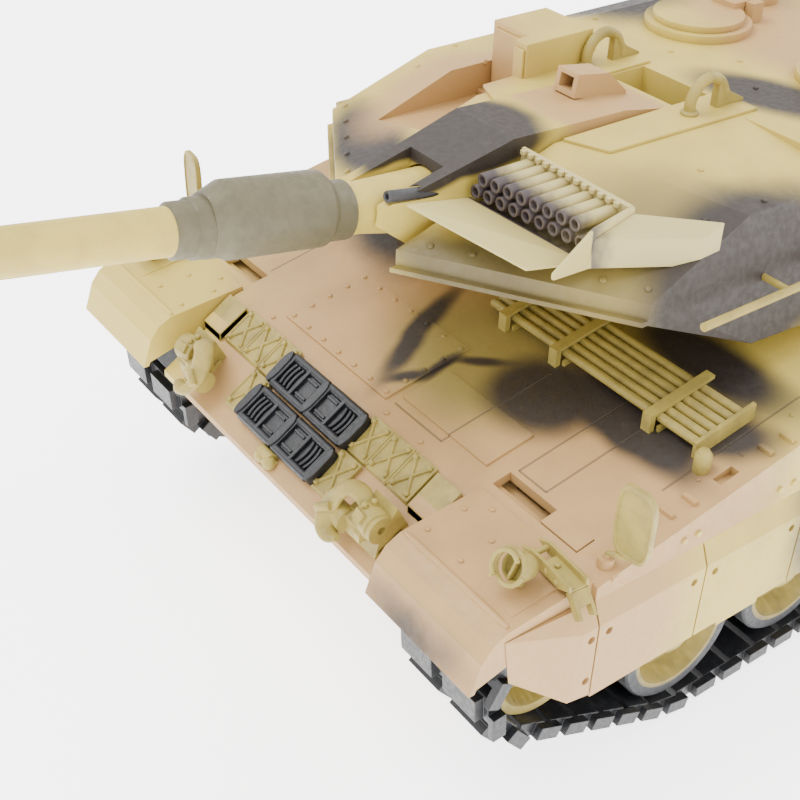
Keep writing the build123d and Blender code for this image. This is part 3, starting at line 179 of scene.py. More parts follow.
# ------------------------------------------------------------------ materials
def sprayed(name, base, patches, lines=()):
    """Matte airbrushed plastic: soft-edged patches of (colour, centre, radii, turn, soft) and engraved
    lines of (axis across, place, axis along, from, to), each groove darkened with painted shade."""
    p = Paint(name)
    wander = p.node("ShaderNodeTexNoise", {"Vector": p.at, "Scale": 1.0 / 26.0, "Detail": 2.0})
    drift = Wire(p, wander.outputs["Color"], True) - (0.5, 0.5, 0.5)
    shifted = p.at + drift * (7.0, 7.0, 7.0)
    mottle = p.noise(18.0, 3.0)
    colour = p.blend(base, tuple(c * 0.86 for c in base), mottle.ramp(0.35, 0.75))
    for tint, centre, radii, turn, soft in patches:
        mask = p.blob(centre, radii, turn, soft, shifted)
        colour = p.blend(colour, tint, mask)
    speck = p.noise(0.35, 2.0)
    colour = p.blend(colour, (0.6, 0.52, 0.34), speck.ramp(0.70, 0.82, 0.0, 0.10))
    grime = p.noise(5.0, 4.0, 0.6)
    colour = p.blend(colour, (0.20, 0.16, 0.10), grime.ramp(0.60, 0.85, 0.0, 0.16))
    rough = p.noise(2.2, 3.0).ramp(0.3, 0.7, 0.50, 0.66)
    grain = p.noise(0.45, 3.0) + p.noise(3.5, 2.0) * 0.8
    for across, place, along, low, high in lines:
        groove = (p.axis(across) - place).absolute().ramp(0.18, 0.42, 1.0, 0.0)
        run = p.axis(along)
        groove = groove * run.ramp(low - 0.2, low) * run.ramp(high, high + 0.2, 1.0, 0.0)
        # Painted shade: the colour is darkened along each engraved groove.
        colour = p.blend(colour, (0.05, 0.035, 0.02), groove * 0.55)
        grain = grain - groove * 8.0
    return p.done(colour, rough, grain, 0.035)


HULL_PATCHES = (
    (SAND, (60.0, 60.0, 100.0), (260.0, 190.0, 120.0), 0.0, 0.10),
    (SAND, (-95.0, -235.0, 85.0), (42.0, 46.0, 60.0), 0.0, 0.3),
    (OLIVE, (22.0, -160.0, 98.0), (34.0, 28.0, 60.0), 0.0, 0.45),
    (DARK, (-2.5, -167.0, 98.0), (4.4, 27.0, 60.0), 24.5, 0.45),
    (DARK, (12.5, -183.5, 98.0), (7.5, 2.4, 60.0), 58.0, 0.6),
    (DARK, (16.5, -172.0, 98.0), (2.2, 8.0, 60.0), 0.0, 0.6),
    (DARK, (24.0, -161.0, 98.0), (9.5, 2.2, 60.0), 35.0, 0.6),
    (DARK, (50.0, -158.0, 98.0), (19.0, 18.0, 60.0), 0.0, 0.35),
    (DARK, (78.0, -148.0, 98.0), (30.0, 11.0, 60.0), -6.0, 0.3),
    (DARK, (92.0, -134.0, 98.0), (24.0, 11.0, 60.0), 20.0, 0.3),
    # Partly camouflage, partly painted shadow: dark patch beneath the turret's wedge, behind the rods.
    (DARK, (74.0, -112.0, 108.0), (34.0, 13.0, 60.0), 0.0, 0.45),
    (DARK, (88.0, -242.0, 78.0), (24.0, 8.0, 9.0), 0.0, 0.5),
    (DARK, (-70.0, -128.0, 104.0), (40.0, 20.0, 60.0), -30.0, 0.35),
    (DARK, (110.0, 5.0, 90.0), (40.0, 30.0, 70.0), 20.0, 0.35),
    (DARK, (-104.0, 30.0, 90.0), (46.0, 34.0, 70.0), -15.0, 0.35),
    (PINK, (100.0, 90.0, 90.0), (50.0, 34.0, 70.0), 0.0, 0.35),
    (PINK, (-20.0, 170.0, 100.0), (60.0, 40.0, 70.0), 25.0, 0.35),
    (DARK, (64.0, 165.0, 100.0), (52.0, 24.0, 80.0), 35.0, 0.35),
    (DARK, (-84.0, 210.0, 90.0), (44.0, 26.0, 80.0), -10.0, 0.35),
    (PINK, (-108.0, -60.0, 90.0), (30.0, 50.0, 70.0), 0.0, 0.35),
    (DARK, (0.0, 236.0, 60.0), (36.0, 30.0, 30.0), 0.0, 0.35),
)
SKIRT_PATCHES = (
    (PINK, (118.0, -215.0, 75.0), (60.0, 52.0, 60.0), 0.0, 0.25),
    (PINK, (-118.0, -120.0, 75.0), (60.0, 52.0, 60.0), 0.0, 0.25),
    (DARK, (118.0, -92.0, 76.0), (30.0, 24.0, 30.0), 0.0, 0.4),
    (DARK, (118.0, 30.0, 60.0), (30.0, 40.0, 26.0), 0.0, 0.4),
    (PINK, (118.0, 110.0, 70.0), (30.0, 46.0, 30.0), 0.0, 0.35),
    (DARK, (118.0, 190.0, 76.0), (30.0, 28.0, 26.0), 0.0, 0.4),
    (DARK, (-118.0, -30.0, 66.0), (30.0, 36.0, 26.0), 0.0, 0.4),
    (PINK, (-118.0, 60.0, 66.0), (30.0, 40.0, 26.0), 0.0, 0.4),
    (DARK, (-118.0, 150.0, 66.0), (30.0, 34.0, 26.0), 0.0, 0.4),
)
TURRET_PATCHES = (
    (DARK, (86.0, -142.0, 148.0), (26.0, 26.0, 30.0), 0.0, 0.3),
    ((0.10, 0.075, 0.022), (46.0, -174.0, 146.0), (42.0, 14.0, 13.0), 32.0, 0.35),
    (OLIVE, (66.0, -134.0, 150.0), (30.0, 30.0, 30.0), 0.0, 0.5),
    (DARK, (88.0, -112.0, 142.0), (34.0, 44.0, 30.0), 14.0, 0.22),
    (DARK, (28.0, -44.0, 166.0), (30.0, 13.0, 20.0), 16.0, 0.35),
    (DARK, (-44.0, -160.0, 148.0), (34.0, 12.0, 30.0), -24.0, 0.4),
    (PINK, (-48.0, -122.0, 160.0), (22.0, 34.0, 30.0), 0.0, 0.4),
    (PINK, (0.0, 10.0, 160.0), (60.0, 34.0, 40.0), 0.0, 0.35),
    (DARK, (-78.0, -20.0, 150.0), (36.0, 30.0, 40.0), 20.0, 0.35),
    (DARK, (60.0, 60.0, 150.0), (44.0, 26.0, 40.0), -20.0, 0.35),
    (DARK, (-40.0, 110.0, 150.0), (40.0, 22.0, 40.0), 10.0, 0.35),
    (PINK, (84.0, 0.0, 140.0), (20.0, 40.0, 30.0), 0.0, 0.35),
)
MANTLET_PATCHES = (
    (PINK, (0.0, -100.0, 170.0), (40.0, 26.0, 14.0), 0.0, 0.15),
    (DARK, (0.0, -168.0, 168.0), (30.0, 40.0, 9.0), 0.0, 0.12),
)


def cast_part(name, colour, worn=(0.46, 0.39, 0.15)):
    """Small matte moulding with faint mottling and lighter worn specks."""
    p = Paint(name)
    tint = p.blend(colour, tuple(c * 0.72 for c in colour), p.noise(6.0, 3.0).ramp(0.35, 0.75))
    tint = p.blend(tint, worn, p.noise(0.6, 3.0).ramp(0.62, 0.80, 0.0, 0.30))
    rough = p.noise(1.5, 2.0).ramp(0.3, 0.7, 0.48, 0.66)
    return p.done(tint, rough, p.noise(0.5, 3.0), 0.03)


def launcher_tube():
    """Grey-brown mouths that fade to cream towards the back of the bank."""
    p = Paint("launcher_spray")
    y = p.axis("Y") + p.noise(3.0, 2.0) * 5.0
    back = p.blend((0.050, 0.036, 0.036), (0.44, 0.36, 0.14), y.ramp(-158.0, -148.5))
    flap = (p.axis("Y") - p.axis("X").absolute() * 0.125).ramp(-166.4, -167.0)
    colour = p.blend(back, (0.45, 0.37, 0.125), flap)
    colour = p.blend(colour, (0.5, 0.43, 0.25), p.noise(0.5).ramp(0.66, 0.82, 0.0, 0.2))
    return p.done(colour, 0.55, p.noise(0.5, 3.0), 0.03)


def extractor_paint():
    """Barrel: sand, with the grey-olive fume extractor picked out by its distance from the pivot."""
    p = Paint("barrel_spray")
    reach = (p.at - (0.0, -88.0, 136.3)).size()
    band = reach.ramp(112.8, 113.2) * reach.ramp(171.6, 171.2)
    base = p.blend(SAND, tuple(c * 0.84 for c in SAND), p.noise(10.0, 3.0).ramp(0.35, 0.75))
    base = p.blend(base, (0.25, 0.17, 0.06), p.noise(0.55, 2.0).ramp(0.58, 0.78, 0.0, 0.35))
    grey = p.blend(EXTRACTOR, tuple(c * 0.85 for c in EXTRACTOR), p.noise(4.0, 3.0).ramp(0.35, 0.75))
    colour = p.blend(base, grey, band)
    return p.done(colour, p.noise(2.0).ramp(0.3, 0.7, 0.5, 0.64), p.noise(0.45, 3.0), 0.03)


def track_plastic():
    p = Paint("track_links")
    colour = p.blend(TRACK, (0.012, 0.014, 0.018), p.noise(3.0, 4.0).ramp(0.45, 0.8))
    colour = p.blend(colour, (0.06, 0.05, 0.035), p.noise(9.0, 4.0, 0.7).ramp(0.62, 0.85, 0.0, 0.2))
    return p.done(colour, p.noise(1.2, 3.0).ramp(0.3, 0.7, 0.36, 0.54), p.noise(0.6, 3.0), 0.05)


def shaded_wheel_paint():
    """Olive-yellow discs inside grey rubber tyres, split by the radius about the nearest axle; painted shade
    darkens each disc towards its tyre.
    """
    p = Paint("wheel_discs")
    turn = p.node("ShaderNodeMath", {0: p.axis("Y") + 142.0, 1: -26.75, 2: 26.75}, operation="WRAP")
    along = Wire(p, turn.outputs["Value"])
    up = p.axis("Z") - 31.7
    radius = (along * along + up * up) ** 0.5
    tyre = radius.ramp(18.9, 19.1)
    disc = p.blend(DETAIL, tuple(c * 0.7 for c in DETAIL), p.noise(5.0, 3.0).ramp(0.35, 0.75))
    # Painted shade: each disc darkens in a ring towards its join with the tyre.
    disc = p.blend(disc, (0.12, 0.09, 0.05), radius.ramp(16.5, 18.9, 0.0, 0.55))
    colour = p.blend(disc, RUBBER, tyre)
    colour = p.blend(colour, (0.20, 0.17, 0.12), p.noise(4.0, 4.0, 0.65).ramp(0.6, 0.85, 0.0, 0.3))
    return p.done(colour, p.noise(2.0).ramp(0.3, 0.7, 0.52, 0.72), p.noise(0.6, 3.0), 0.04)


def floor_finish():
    p = Paint("studio_floor")
    colour = p.blend((0.93, 0.93, 0.935), (0.91, 0.91, 0.915), p.noise(60.0, 2.0))
    return p.done(colour, p.noise(20.0).ramp(0.3, 0.7, 0.42, 0.5), p.noise(8.0), 0.01,
                  Emission_Color=(1.0, 1.0, 1.0, 1.0), Emission_Strength=3.0)


HULL_LINES = (
    ("X", 70.0, "Y", -184.0, -134.0), ("X", 82.0, "Y", -184.0, -140.0), ("X", 44.0, "Y", -193.0, -150.0),
    ("Y", -193.0, "X", 20.0, 44.0), ("Y", -184.0, "X", 70.0, 82.0), ("X", -70.0, "Y", -184.0, -134.0),
    ("Y", -134.5, "X", 46.0, 110.0), ("X", 104.0, "Y", -160.0, -60.0), ("X", -104.0, "Y", -160.0, -60.0),
    ("Y", 150.0, "X", -110.0, 110.0), ("X", 35.5, "Y", 150.0, 226.0), ("X", -35.5, "Y", 150.0, 226.0),
)
hull_paint_and_shade = sprayed("hull_paint_and_shade", PINK, HULL_PATCHES, HULL_LINES)
skirt_spray = sprayed("skirt_spray", SAND, SKIRT_PATCHES)
turret_spray = sprayed("turret_spray", SAND, TURRET_PATCHES)
mantlet_spray = sprayed("mantlet_spray", SAND, MANTLET_PATCHES)
detail_cast = cast_part("detail_cast", DETAIL)
dark_cast = cast_part("dark_cast", (0.045, 0.043, 0.045), (0.14, 0.13, 0.12))
inner_cast = cast_part("inner_cast", (0.03, 0.10, 0.06), (0.2, 0.3, 0.2))
wheel_cast_and_shade = shaded_wheel_paint()
track_cast = track_plastic()
barrel_spray = extractor_paint()
tube_spray = launcher_tube()

FINISH = {
    "upper_hull": hull_paint_and_shade, "lower_hull": hull_paint_and_shade, "front_mudguards": hull_paint_and_shade,
    "driver_hatch": hull_paint_and_shade, "side_skirts": skirt_spray, "turret_shell": turret_spray,
    "wedge_armour": turret_spray, "sight_housing": turret_spray, "commander_hatch": turret_spray,
    "loader_hatch": turret_spray, "panoramic_sight": turret_spray, "bustle_rack": turret_spray,
    "gun_mantlet": mantlet_spray, "coax_tube": dark_cast, "gun_barrel": barrel_spray,
    "smoke_launchers": tube_spray, "track_left": track_cast, "track_right": track_cast,
    "spare_track_links": track_cast, "battery_pack": inner_cast, "control_board": inner_cast,
    "speaker": dark_cast, "gearmotors": dark_cast, "antennas": dark_cast, "machine_gun": dark_cast,
    "mg_mount": dark_cast,
}


def dress(name, obj):
    """Gives a CAD node its finish and rounds its edges."""
    finish = FINISH.get(name, wheel_cast_and_shade if name.startswith("road_wheel") else detail_cast)
    for s in obj.material_slots:
        s.material = finish
    if not obj.material_slots:
        obj.data.materials.append(finish)
    weld = obj.modifiers.new("weld", "WELD")
    weld.merge_threshold = 0.002 * MM
    flat = obj.modifiers.new("flat", "DECIMATE")
    flat.decimate_type = "DISSOLVE"
    flat.angle_limit = math.radians(1.0)
    round_ = obj.modifiers.new("round", "BEVEL")
    round_.width = 0.35 * MM
    round_.segments = 2
    round_.limit_method = "ANGLE"
    round_.angle_limit = math.radians(35.0)
    round_.harden_normals = True


for node_name, node_obj in NODES.items():
    dress(node_name, node_obj)


# ------------------------------------------------------------------ surfaces
# Hull planes as the CAD model has them, in millimetres.
LIP_Y, LIP_Z = -231.5, 72.0
BREAK_Y, BREAK_Z = -200.5, 92.0
RISE = 0.19
ROOF_Z = 165.0


def bow(y):
    return LIP_Z + (y - LIP_Y) * (BREAK_Z - LIP_Z) / (BREAK_Y - LIP_Y)


class Stock:
    """Collects lofted surfaces, in millimetres, into one piece."""

    def __init__(self):
        self.points, self.faces, self.count = [], [], 0

    def loft(self, rings, caps=True):
        """Surface through rings, an array (ring, point, 3) of closed loops; caps closes both ends."""
        rings = np.asarray(rings, float)
        n, m = rings.shape[:2]
        index = self.count + np.arange(n * m).reshape(n, m)
        nxt = np.roll(index, -1, axis=1)
        quads = np.stack([index[:-1], nxt[:-1], nxt[1:], index[1:]], axis=-1).reshape(-1, 4)
        self.points.append(rings.reshape(-1, 3))
        self.faces += quads.tolist()
        if caps:
            self.faces += [index[0, ::-1].tolist(), index[-1].tolist()]
        self.count += n * m
        return self

    def slab(self, outline, low, high, place=None):
        """Flat plate: a closed (x, y) outline between two heights, moved by a 4x4 place."""
        outline = np.asarray(outline, float)
        rings = np.stack([np.c_[outline, np.full(len(outline), h)] for h in (low, high)])
        return self.loft(moved(rings, place))

    def bar(self, x0, x1, y0, y1, z0, z1, place=None):
        return self.slab([(x0, y0), (x1, y0), (x1, y1), (x0, y1)], z0, z1, place)

    def turned(self, profile, place=None, sides=32):
        """Body of revolution about its own Z; profile is (radius, height), top last."""
        profile = np.asarray(profile, float)
        a = np.linspace(0, 2 * np.pi, sides, endpoint=False)
        rings = np.stack([np.outer(profile[:, 0], np.cos(a)), np.outer(profile[:, 0], np.sin(a)),
                          np.repeat(profile[:, 1:2], sides, axis=1)], axis=-1)
        return self.loft(moved(rings, place))

    def tube(self, path, radius, sides=14, place=None, flat=1.0):
        """Round or oval rod along a path; flat scales its section across the second direction."""
        path = np.asarray(path, float)
        radius = np.broadcast_to(np.asarray(radius, float), len(path))
        way = np.gradient(path, axis=0)
        way /= np.linalg.norm(way, axis=1, keepdims=True)
        guide = np.array([0.0, 0.0, 1.0]) if abs(way[:, 2]).max() < 0.9 else np.array([1.0, 0.0, 0.0])
        if abs(way @ guide).max() > 0.97:
            guide = np.array([0.0, 1.0, 0.0])
        side = np.cross(way, guide)
        side /= np.linalg.norm(side, axis=1, keepdims=True)
        up = np.cross(side, way)
        a = np.linspace(0, 2 * np.pi, sides, endpoint=False)
        rings = (path[:, None] + radius[:, None, None] * (np.cos(a)[None, :, None] * side[:, None]
                 + flat * np.sin(a)[None, :, None] * up[:, None]))
        return self.loft(moved(rings, place))

    def domes(self, points, normals, radius, height, sides=10):
        """Round-headed bolts at points, standing along normals."""
        points, normals = np.atleast_2d(points).astype(float), np.atleast_2d(normals).astype(float)
        normals = normals / np.linalg.norm(normals, axis=1, keepdims=True)
        guide = np.where(abs(normals[:, :1]) < 0.8, [[1.0, 0.0, 0.0]], [[0.0, 1.0, 0.0]])
        u = np.cross(normals, guide)
        u /= np.linalg.norm(u, axis=1, keepdims=True)
        v = np.cross(normals, u)
        a = np.linspace(0, 2 * np.pi, sides, endpoint=False)
        for p, n, s, t in zip(points, normals, u, v):
            ring = np.cos(a)[:, None] * s + np.sin(a)[:, None] * t
            self.loft([p + ring * radius * r + n * height * h
                       for r, h in ((1.0, -0.4), (1.0, 0.45), (0.82, 0.85), (0.35, 1.0))])
        return self

    def piece(self, name, body, finish, node=(), bevel=0.0, smooth=40.0):
        mesh = bpy.data.meshes.new(name)
        mesh.from_pydata((np.concatenate(self.points) * MM).tolist(), [], self.faces)
        mesh.materials.append(finish)
        mesh.validate()
        obj = bpy.data.objects.new(name, mesh)
        bpy.context.scene.collection.objects.link(obj)
        mesh.shade_smooth()
        mesh.set_sharp_from_angle(angle=math.radians(smooth))
        if bevel:
            m = obj.modifiers.new("edge", "BEVEL")
            m.width, m.segments = bevel * MM, 2
            m.limit_method, m.angle_limit = "ANGLE", math.radians(38.0)
        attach(obj, body)
        if node:
            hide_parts(*((node,) if isinstance(node, str) else node))
        return obj


def moved(rings, place):
    rings = np.asarray(rings, float)
    if place is None:
        return rings
    place = np.array(place)
    return rings @ place[:3, :3].T + place[:3, 3]


def at(x, y, z, rx=0.0, ry=0.0, rz=0.0, flip=1):
    """Place a shape: turned by degrees about X, Y, Z, then moved; flip -1 mirrors it to the other side."""
    m = Matrix.Translation((x, y, z)) @ Matrix.Rotation(math.radians(rz), 4, "Z") \
        @ Matrix.Rotation(math.radians(ry), 4, "Y") @ Matrix.Rotation(math.radians(rx), 4, "X")
    return Matrix.Diagonal((flip, 1, 1, 1)) @ m


def curve(points, count=24):
    """Smooth path through points: a Catmull-Rom spline sampled evenly in its parameter."""
    p = np.asarray(points, float)
    p = np.vstack([2 * p[0] - p[1], p, 2 * p[-1] - p[-2]])
    t = np.linspace(0, len(p) - 3 - 1e-9, count)
    i, f = t.astype(int), (t % 1)[:, None]
    a, b, c, d = p[i], p[i + 1], p[i + 2], p[i + 3]
    square = (2 * a - 5 * b + 4 * c - d) * f ** 2
    cube = (3 * b - a - 3 * c + d) * f ** 3
    return 0.5 * (2 * b + (c - a) * f + square + cube)


def found(node, x, y):
    """Point and normal of a CAD node's top surface at (x, y), in millimetres."""
    hit, where, normal, _ = NODES[node].ray_cast(Vector((x * MM, y * MM, 0.4)), Vector((0, 0, -1)))
    return np.array(where) * 1000.0, np.array(normal)


def bolts(stock, node, spots, radius=0.95, height=0.75):
    got = [found(node, x, y) for x, y in spots]
    stock.domes([g[0] for g in got], [g[1] for g in got], radius, height)


BOTH = (1, -1)
BOW_TILT = math.degrees(math.atan2(BREAK_Z - LIP_Z, BREAK_Y - LIP_Y))


# ------------------------------------------------------------------ bow
def grouser_ribs():
    """Crossed ribs with pins at their ends, and a rim each side, on every grouser plate of the bow."""
    s = Stock()
    for flip in BOTH:
        for x0, y0, y1 in ((21.2, -213.0, -201.4), (32.2, -213.0, -201.4), (43.2, -213.0, -201.4),
                           (21.2, -226.2, -213.6)):
            place = at(x0, y0, bow(y0) + 1.5, rx=BOW_TILT, flip=flip)
            length = (y1 - y0) / math.cos(math.radians(BOW_TILT))
            inset = 1.8
            for xa, xb in ((inset, 10.6 - inset), (10.6 - inset, inset)):
                ends = [(xa, inset, 0.3), (xb, length - inset, 0.3)]
                s.tube(np.linspace(*ends, 6), 0.62, 8, place)
                for x, y, z in ends:
                    s.turned([(0.95, -0.4), (0.95, 0.7), (0.6, 1.05)], place @ at(x, y, z), 10)
            for x in (0.35, 10.25):
                s.tube([(x, 0.2, 0.1), (x, length / 2, 0.1), (x, length - 0.2, 0.1)], 0.5, 8, place)
    return s.piece("grouser_ribs", "hull", detail_cast)


def spare_links():
    """Two rows of twin spare track links: frames, arched slots and end connectors."""
    s = Stock()
    arc = np.linspace(-0.62, 0.62, 10)
    for y0 in (-226.4, -213.8):
        for flip in BOTH:
            place = at(0.4, y0, bow(y0) + 0.2, rx=BOW_TILT, flip=flip)
            s.bar(0.0, 19.6, 0.4, 13.4, 0.0, 2.6, place)
            for ya, yb in ((0.2, 2.4), (11.4, 13.8)):
                pin_y = (ya + yb) / 2
                s.tube([(0.2, pin_y, 2.6), (9.0, pin_y, 2.6), (19.8, pin_y, 2.6)], 1.5, 12, place)
            for xa, xb in ((0.0, 1.8), (9.0, 10.4), (18.4, 20.0)):
                s.bar(xa, xb, 1.0, 12.8, 1.0, 4.0, place)
            for x in (12.2, 14.4, 16.4):
                bow_x = x + 1.7 * np.cos(arc * 1.6) - 1.0
                s.tube(np.c_[bow_x, 6.9 + 7.2 * np.sin(arc), np.full(10, 3.2)], 0.55, 8, place)
            s.bar(2.6, 8.2, 3.4, 4.4, 2.4, 3.7, place)
            s.bar(2.6, 8.2, 9.4, 10.4, 2.4, 3.7, place)
        for x in (-21.4, 0.0, 21.4):
            place = at(x, y0, bow(y0) + 0.2, rx=BOW_TILT)
            s.slab([(1.6 * math.cos(t), 6.9 + 4.4 * math.sin(t) + (2.2 if math.sin(t) > 0 else -2.2))
                    for t in np.linspace(0, 2 * np.pi, 20, endpoint=False)], 0.6, 4.6, place)
    return s.piece("spare_links", "hull", track_cast, "spare_track_links", bevel=0.25)


def tow_hooks():
    """Clevis disc with a bored centre and clamp cap, a thick curled hook with a pin, and the centre eye."""
    s = Stock()
    for flip in BOTH:
        disc = at(50.6, -225.2, 84.8, ry=90, rz=-8, flip=flip)
        s.turned([(1.5, 0.2), (1.5, 0.0), (4.4, 0.0), (4.9, 0.6), (4.9, 6.4), (4.5, 7.0), (3.6, 7.2),
                  (1.5, 7.2), (1.5, 2.0)], disc, 40)
        s.turned([(1.2, -2.4), (2.6, -2.2), (2.8, 0.2), (2.8, 1.0)], disc, 24)
        for turn in (-38, 38):
            s.bar(-1.6, 1.6, 3.9, 6.0, 1.2, 5.6, disc @ at(0, 0, 0, rz=180 + turn))
        for turn in (-14, 14):
            cap = disc @ at(-4.6, turn * 0.11, 2.0, rz=90) @ at(0, 0, 0, rx=-90)
            s.turned([(1.0, 0.0), (1.0, 1.4), (0.7, 1.7)], cap, 10)
        hook = curve([(51.5, -225.0, 86.5), (48.0, -224.8, 90.2), (44.0, -226.2, 90.6), (41.2, -229.0, 87.4),
                      (40.6, -232.0, 82.6), (42.6, -234.4, 78.8), (46.0, -235.0, 77.6),
                      (49.0, -234.4, 78.6)], 30)
        girth = np.interp(np.linspace(0, 1, 30), [0, 0.15, 0.55, 0.85, 1], [2.2, 3.3, 3.7, 3.0, 1.5])
        s.tube(hook, girth, 18, at(0, 0, 0, flip=flip), flat=0.55)
        tip = at(40.2, -233.6, 84.2, ry=62, rz=20, flip=flip)
        s.turned([(1.2, -3.0), (1.5, -2.6), (1.5, 2.6), (1.2, 3.0)], tip, 18)
        s.bar(-6.0, 6.0, -5.0, 5.0, 0.0, 1.6, at(53.0, -222.0, bow(-222.0), rx=BOW_TILT, flip=flip))
    for x in (-1.9, 2.7):
        s.turned([(2.4, 0.0), (2.5, 1.2), (2.2, 2.4), (1.2, 3.2), (0.3, 3.4)],
                 at(x, -229.2, bow(-229.2) + 0.2, rx=BOW_TILT), 20)
    s.bar(-4.2, 4.8, -1.6, 1.8, 0.0, 1.1, at(0.0, -229.0, bow(-229.0), rx=BOW_TILT))
    return s.piece("tow_hooks", "hull", detail_cast, bevel=0.2)


def bow_blocks():
    """Tapered blocks between the hooks and the mudguards."""
    s = Stock()
    for flip in BOTH:
        x0, x1, y0, y1, top = 55.5, 66.9, -214.0, -202.6, 3.2
        ring = lambda y, h: [(x0, y, bow(y)), (x1, y, bow(y)), (x1, y, bow(y) + h), (x0, y, bow(y) + h)]
        s.loft(moved([ring(y0, top), ring(y1, top - 0.6)], at(0, 0, 0, flip=flip)))
    return s.piece("bow_blocks", "hull", hull_paint_and_shade, bevel=0.4)


# ------------------------------------------------------------------ mudguards and their fittings
def guard_trim():
    """Front mudguards' trim: a bead over the nose, the headlamp's base plate, a hinge strip and bolts."""
    s = Stock()
    slope = Matrix(((1, 0, 0, 0), (0, 1, 0, 0), (0, RISE, 1, BREAK_Z - RISE * BREAK_Y), (0, 0, 0, 1)))
    for flip in BOTH:
        side = at(0, 0, 0, flip=flip)
        top = found("front_mudguards", 92.0 * flip, -224.5)[0]
        bead = np.array([(69.4, -225.0, top[2]), (114.6, -225.0, top[2])])
        s.tube(np.linspace(bead[0], bead[1], 9), np.r_[0.7, np.full(7, 1.1), 0.7], 12, side, flat=0.8)
        s.slab([(98.2, -220.6), (112.6, -221.6), (112.9, -205.8), (98.6, -206.4)], -0.4, 1.9, side @ slope)
        s.slab([(69.0, -214.2), (97.0, -214.2), (97.0, -212.6), (69.0, -212.6)], -0.4, 0.35, side @ slope)
        spots = [(72.5, -219.5), (72.6, -206.5), (88.0, -219.8), (87.5, -208.5), (108.5, -200.8),
                 (78.0, -200.5)]
        bolts(s, "front_mudguards", [(x * flip, y) for x, y in spots], 0.9, 0.7)
    return s.piece("guard_trim", "hull", hull_paint_and_shade, bevel=0.2)


def lamp_set():
    """Headlamp in a ring guard: a drum, a split lens plate with a rib, and a round wire guard on a stalk."""
    s = Stock()
    turn = np.linspace(0, 2 * np.pi, 25)
    for flip in BOTH:
        mid = at(105.2, -213.6, 99.4, rx=62, flip=flip)
        s.tube(np.c_[5.0 * np.cos(turn), 5.0 * np.sin(turn), np.full(25, 4.4)], 0.72, 10, mid)
        s.tube(np.c_[4.5 * np.cos(turn[3:17]), 4.5 * np.sin(turn[3:17]), np.full(14, 6.6)], 0.7, 10, mid)
        s.turned([(2.2, -4.2), (3.4, -3.2), (4.2, -0.5), (4.4, 2.4), (4.1, 3.0), (3.8, 2.6), (3.6, 1.2),
                  (0.4, 1.0)], mid, 32)
        s.bar(-0.45, 0.45, -3.9, 3.9, 1.4, 3.2, mid)
        s.tube([(105.2 * flip, y, z) for y, z in ((-213.4, 93.0), (-213.5, 95.5), (-213.6, 98.0))], 1.5, 12)
        stalk = [(4.9 * math.cos(t), 4.9 * math.sin(t), z)
                 for t, z in ((-2.2, 4.4), (-2.2, 6.0), (-2.1, 7.4))]
        s.tube(stalk, 0.6, 8, mid)
    return s.piece("lamps", "hull", detail_cast, "headlamps", bevel=0.15)


def fold_brackets():
    """Channel-shaped straps hinged on the fender, folded down over the skirt's front corner."""
    s = Stock()
    for flip in BOTH:
        top = at(99.0, -203.4, 97.3, ry=3, rz=-3, flip=flip)
        for y in (-2.9, 2.9):
            s.slab([(-1.6, 0.0), (3.0, 2.3), (19.0, 2.6), (19.4, 0.6), (15.0, -1.7), (3.0, -1.7)],
                   y - 0.5, y + 0.5,
                   top @ at(0, 0, 0, rx=90))
        s.bar(6.5, 19.0, -2.8, 2.8, -0.6, 0.5, top)
        s.tube([(2.6, -2.8, 0.2), (2.6, 0, 0.2), (2.6, 2.8, 0.2)], 0.9, 12, top)
        s.turned([(0.8, 0.0), (0.8, 0.8), (0.4, 1.0)], top @ at(10.0, 0, 0.5), 12)
        for x in (4.5, 9.5, 14.0):
            s.domes(moved([[(x, -3.4, 0.2)]], top)[0], [(0, -1, 0.0)], 0.8, 0.6)
        leg = at(117.8, -203.8, 96.0, ry=52, rz=-3, flip=flip)
        for y in (-2.4, 2.4):
            s.bar(0.0, 8.2, y - 0.5, y + 0.5, -2.6, 0.4, leg)
        s.bar(0.0, 4.6, -2.4, 2.4, -0.5, 0.4, leg)
    return s.piece("brackets", "hull", detail_cast, "folding_brackets", bevel=0.18)


def mirror(side, flip):
    """Wing mirror: rounded frame with a raised rim and a recessed glass, on a bent stalk."""
    s = Stock()
    turn = np.linspace(0, 2 * np.pi, 48, endpoint=False)
    power = 0.52
    edge_x = 6.2 * np.sign(np.cos(turn)) * abs(np.cos(turn)) ** power
    edge_z = 12.0 * np.sign(np.sin(turn)) * abs(np.sin(turn)) ** power
    head = at(119.4, -187.6, 98.8 + 12.5, rz=6, flip=flip)
    rings = [np.c_[edge_x * k, np.full(48, y), edge_z * k] for k, y in
             ((0.88, 0.7), (0.96, 1.0), (1.0, 0.6), (1.0, -0.9), (0.95, -1.2), (0.90, -1.2), (0.88, -0.7),
              (0.3, -0.65))]
    s.loft(moved(rings, head))
    s.tube(curve([(113.2 * flip, -190.0, 95.2), (113.2 * flip, -190.0, 97.4), (114.4 * flip, -189.6, 98.6),
                  (118.6 * flip, -187.7, 99.2), (119.3 * flip, -187.6, 100.6)], 18), 0.85, 10)
    node = "mirror_" + side
    return s.piece("wing_mirror_" + side, node, detail_cast, node, bevel=0.12)


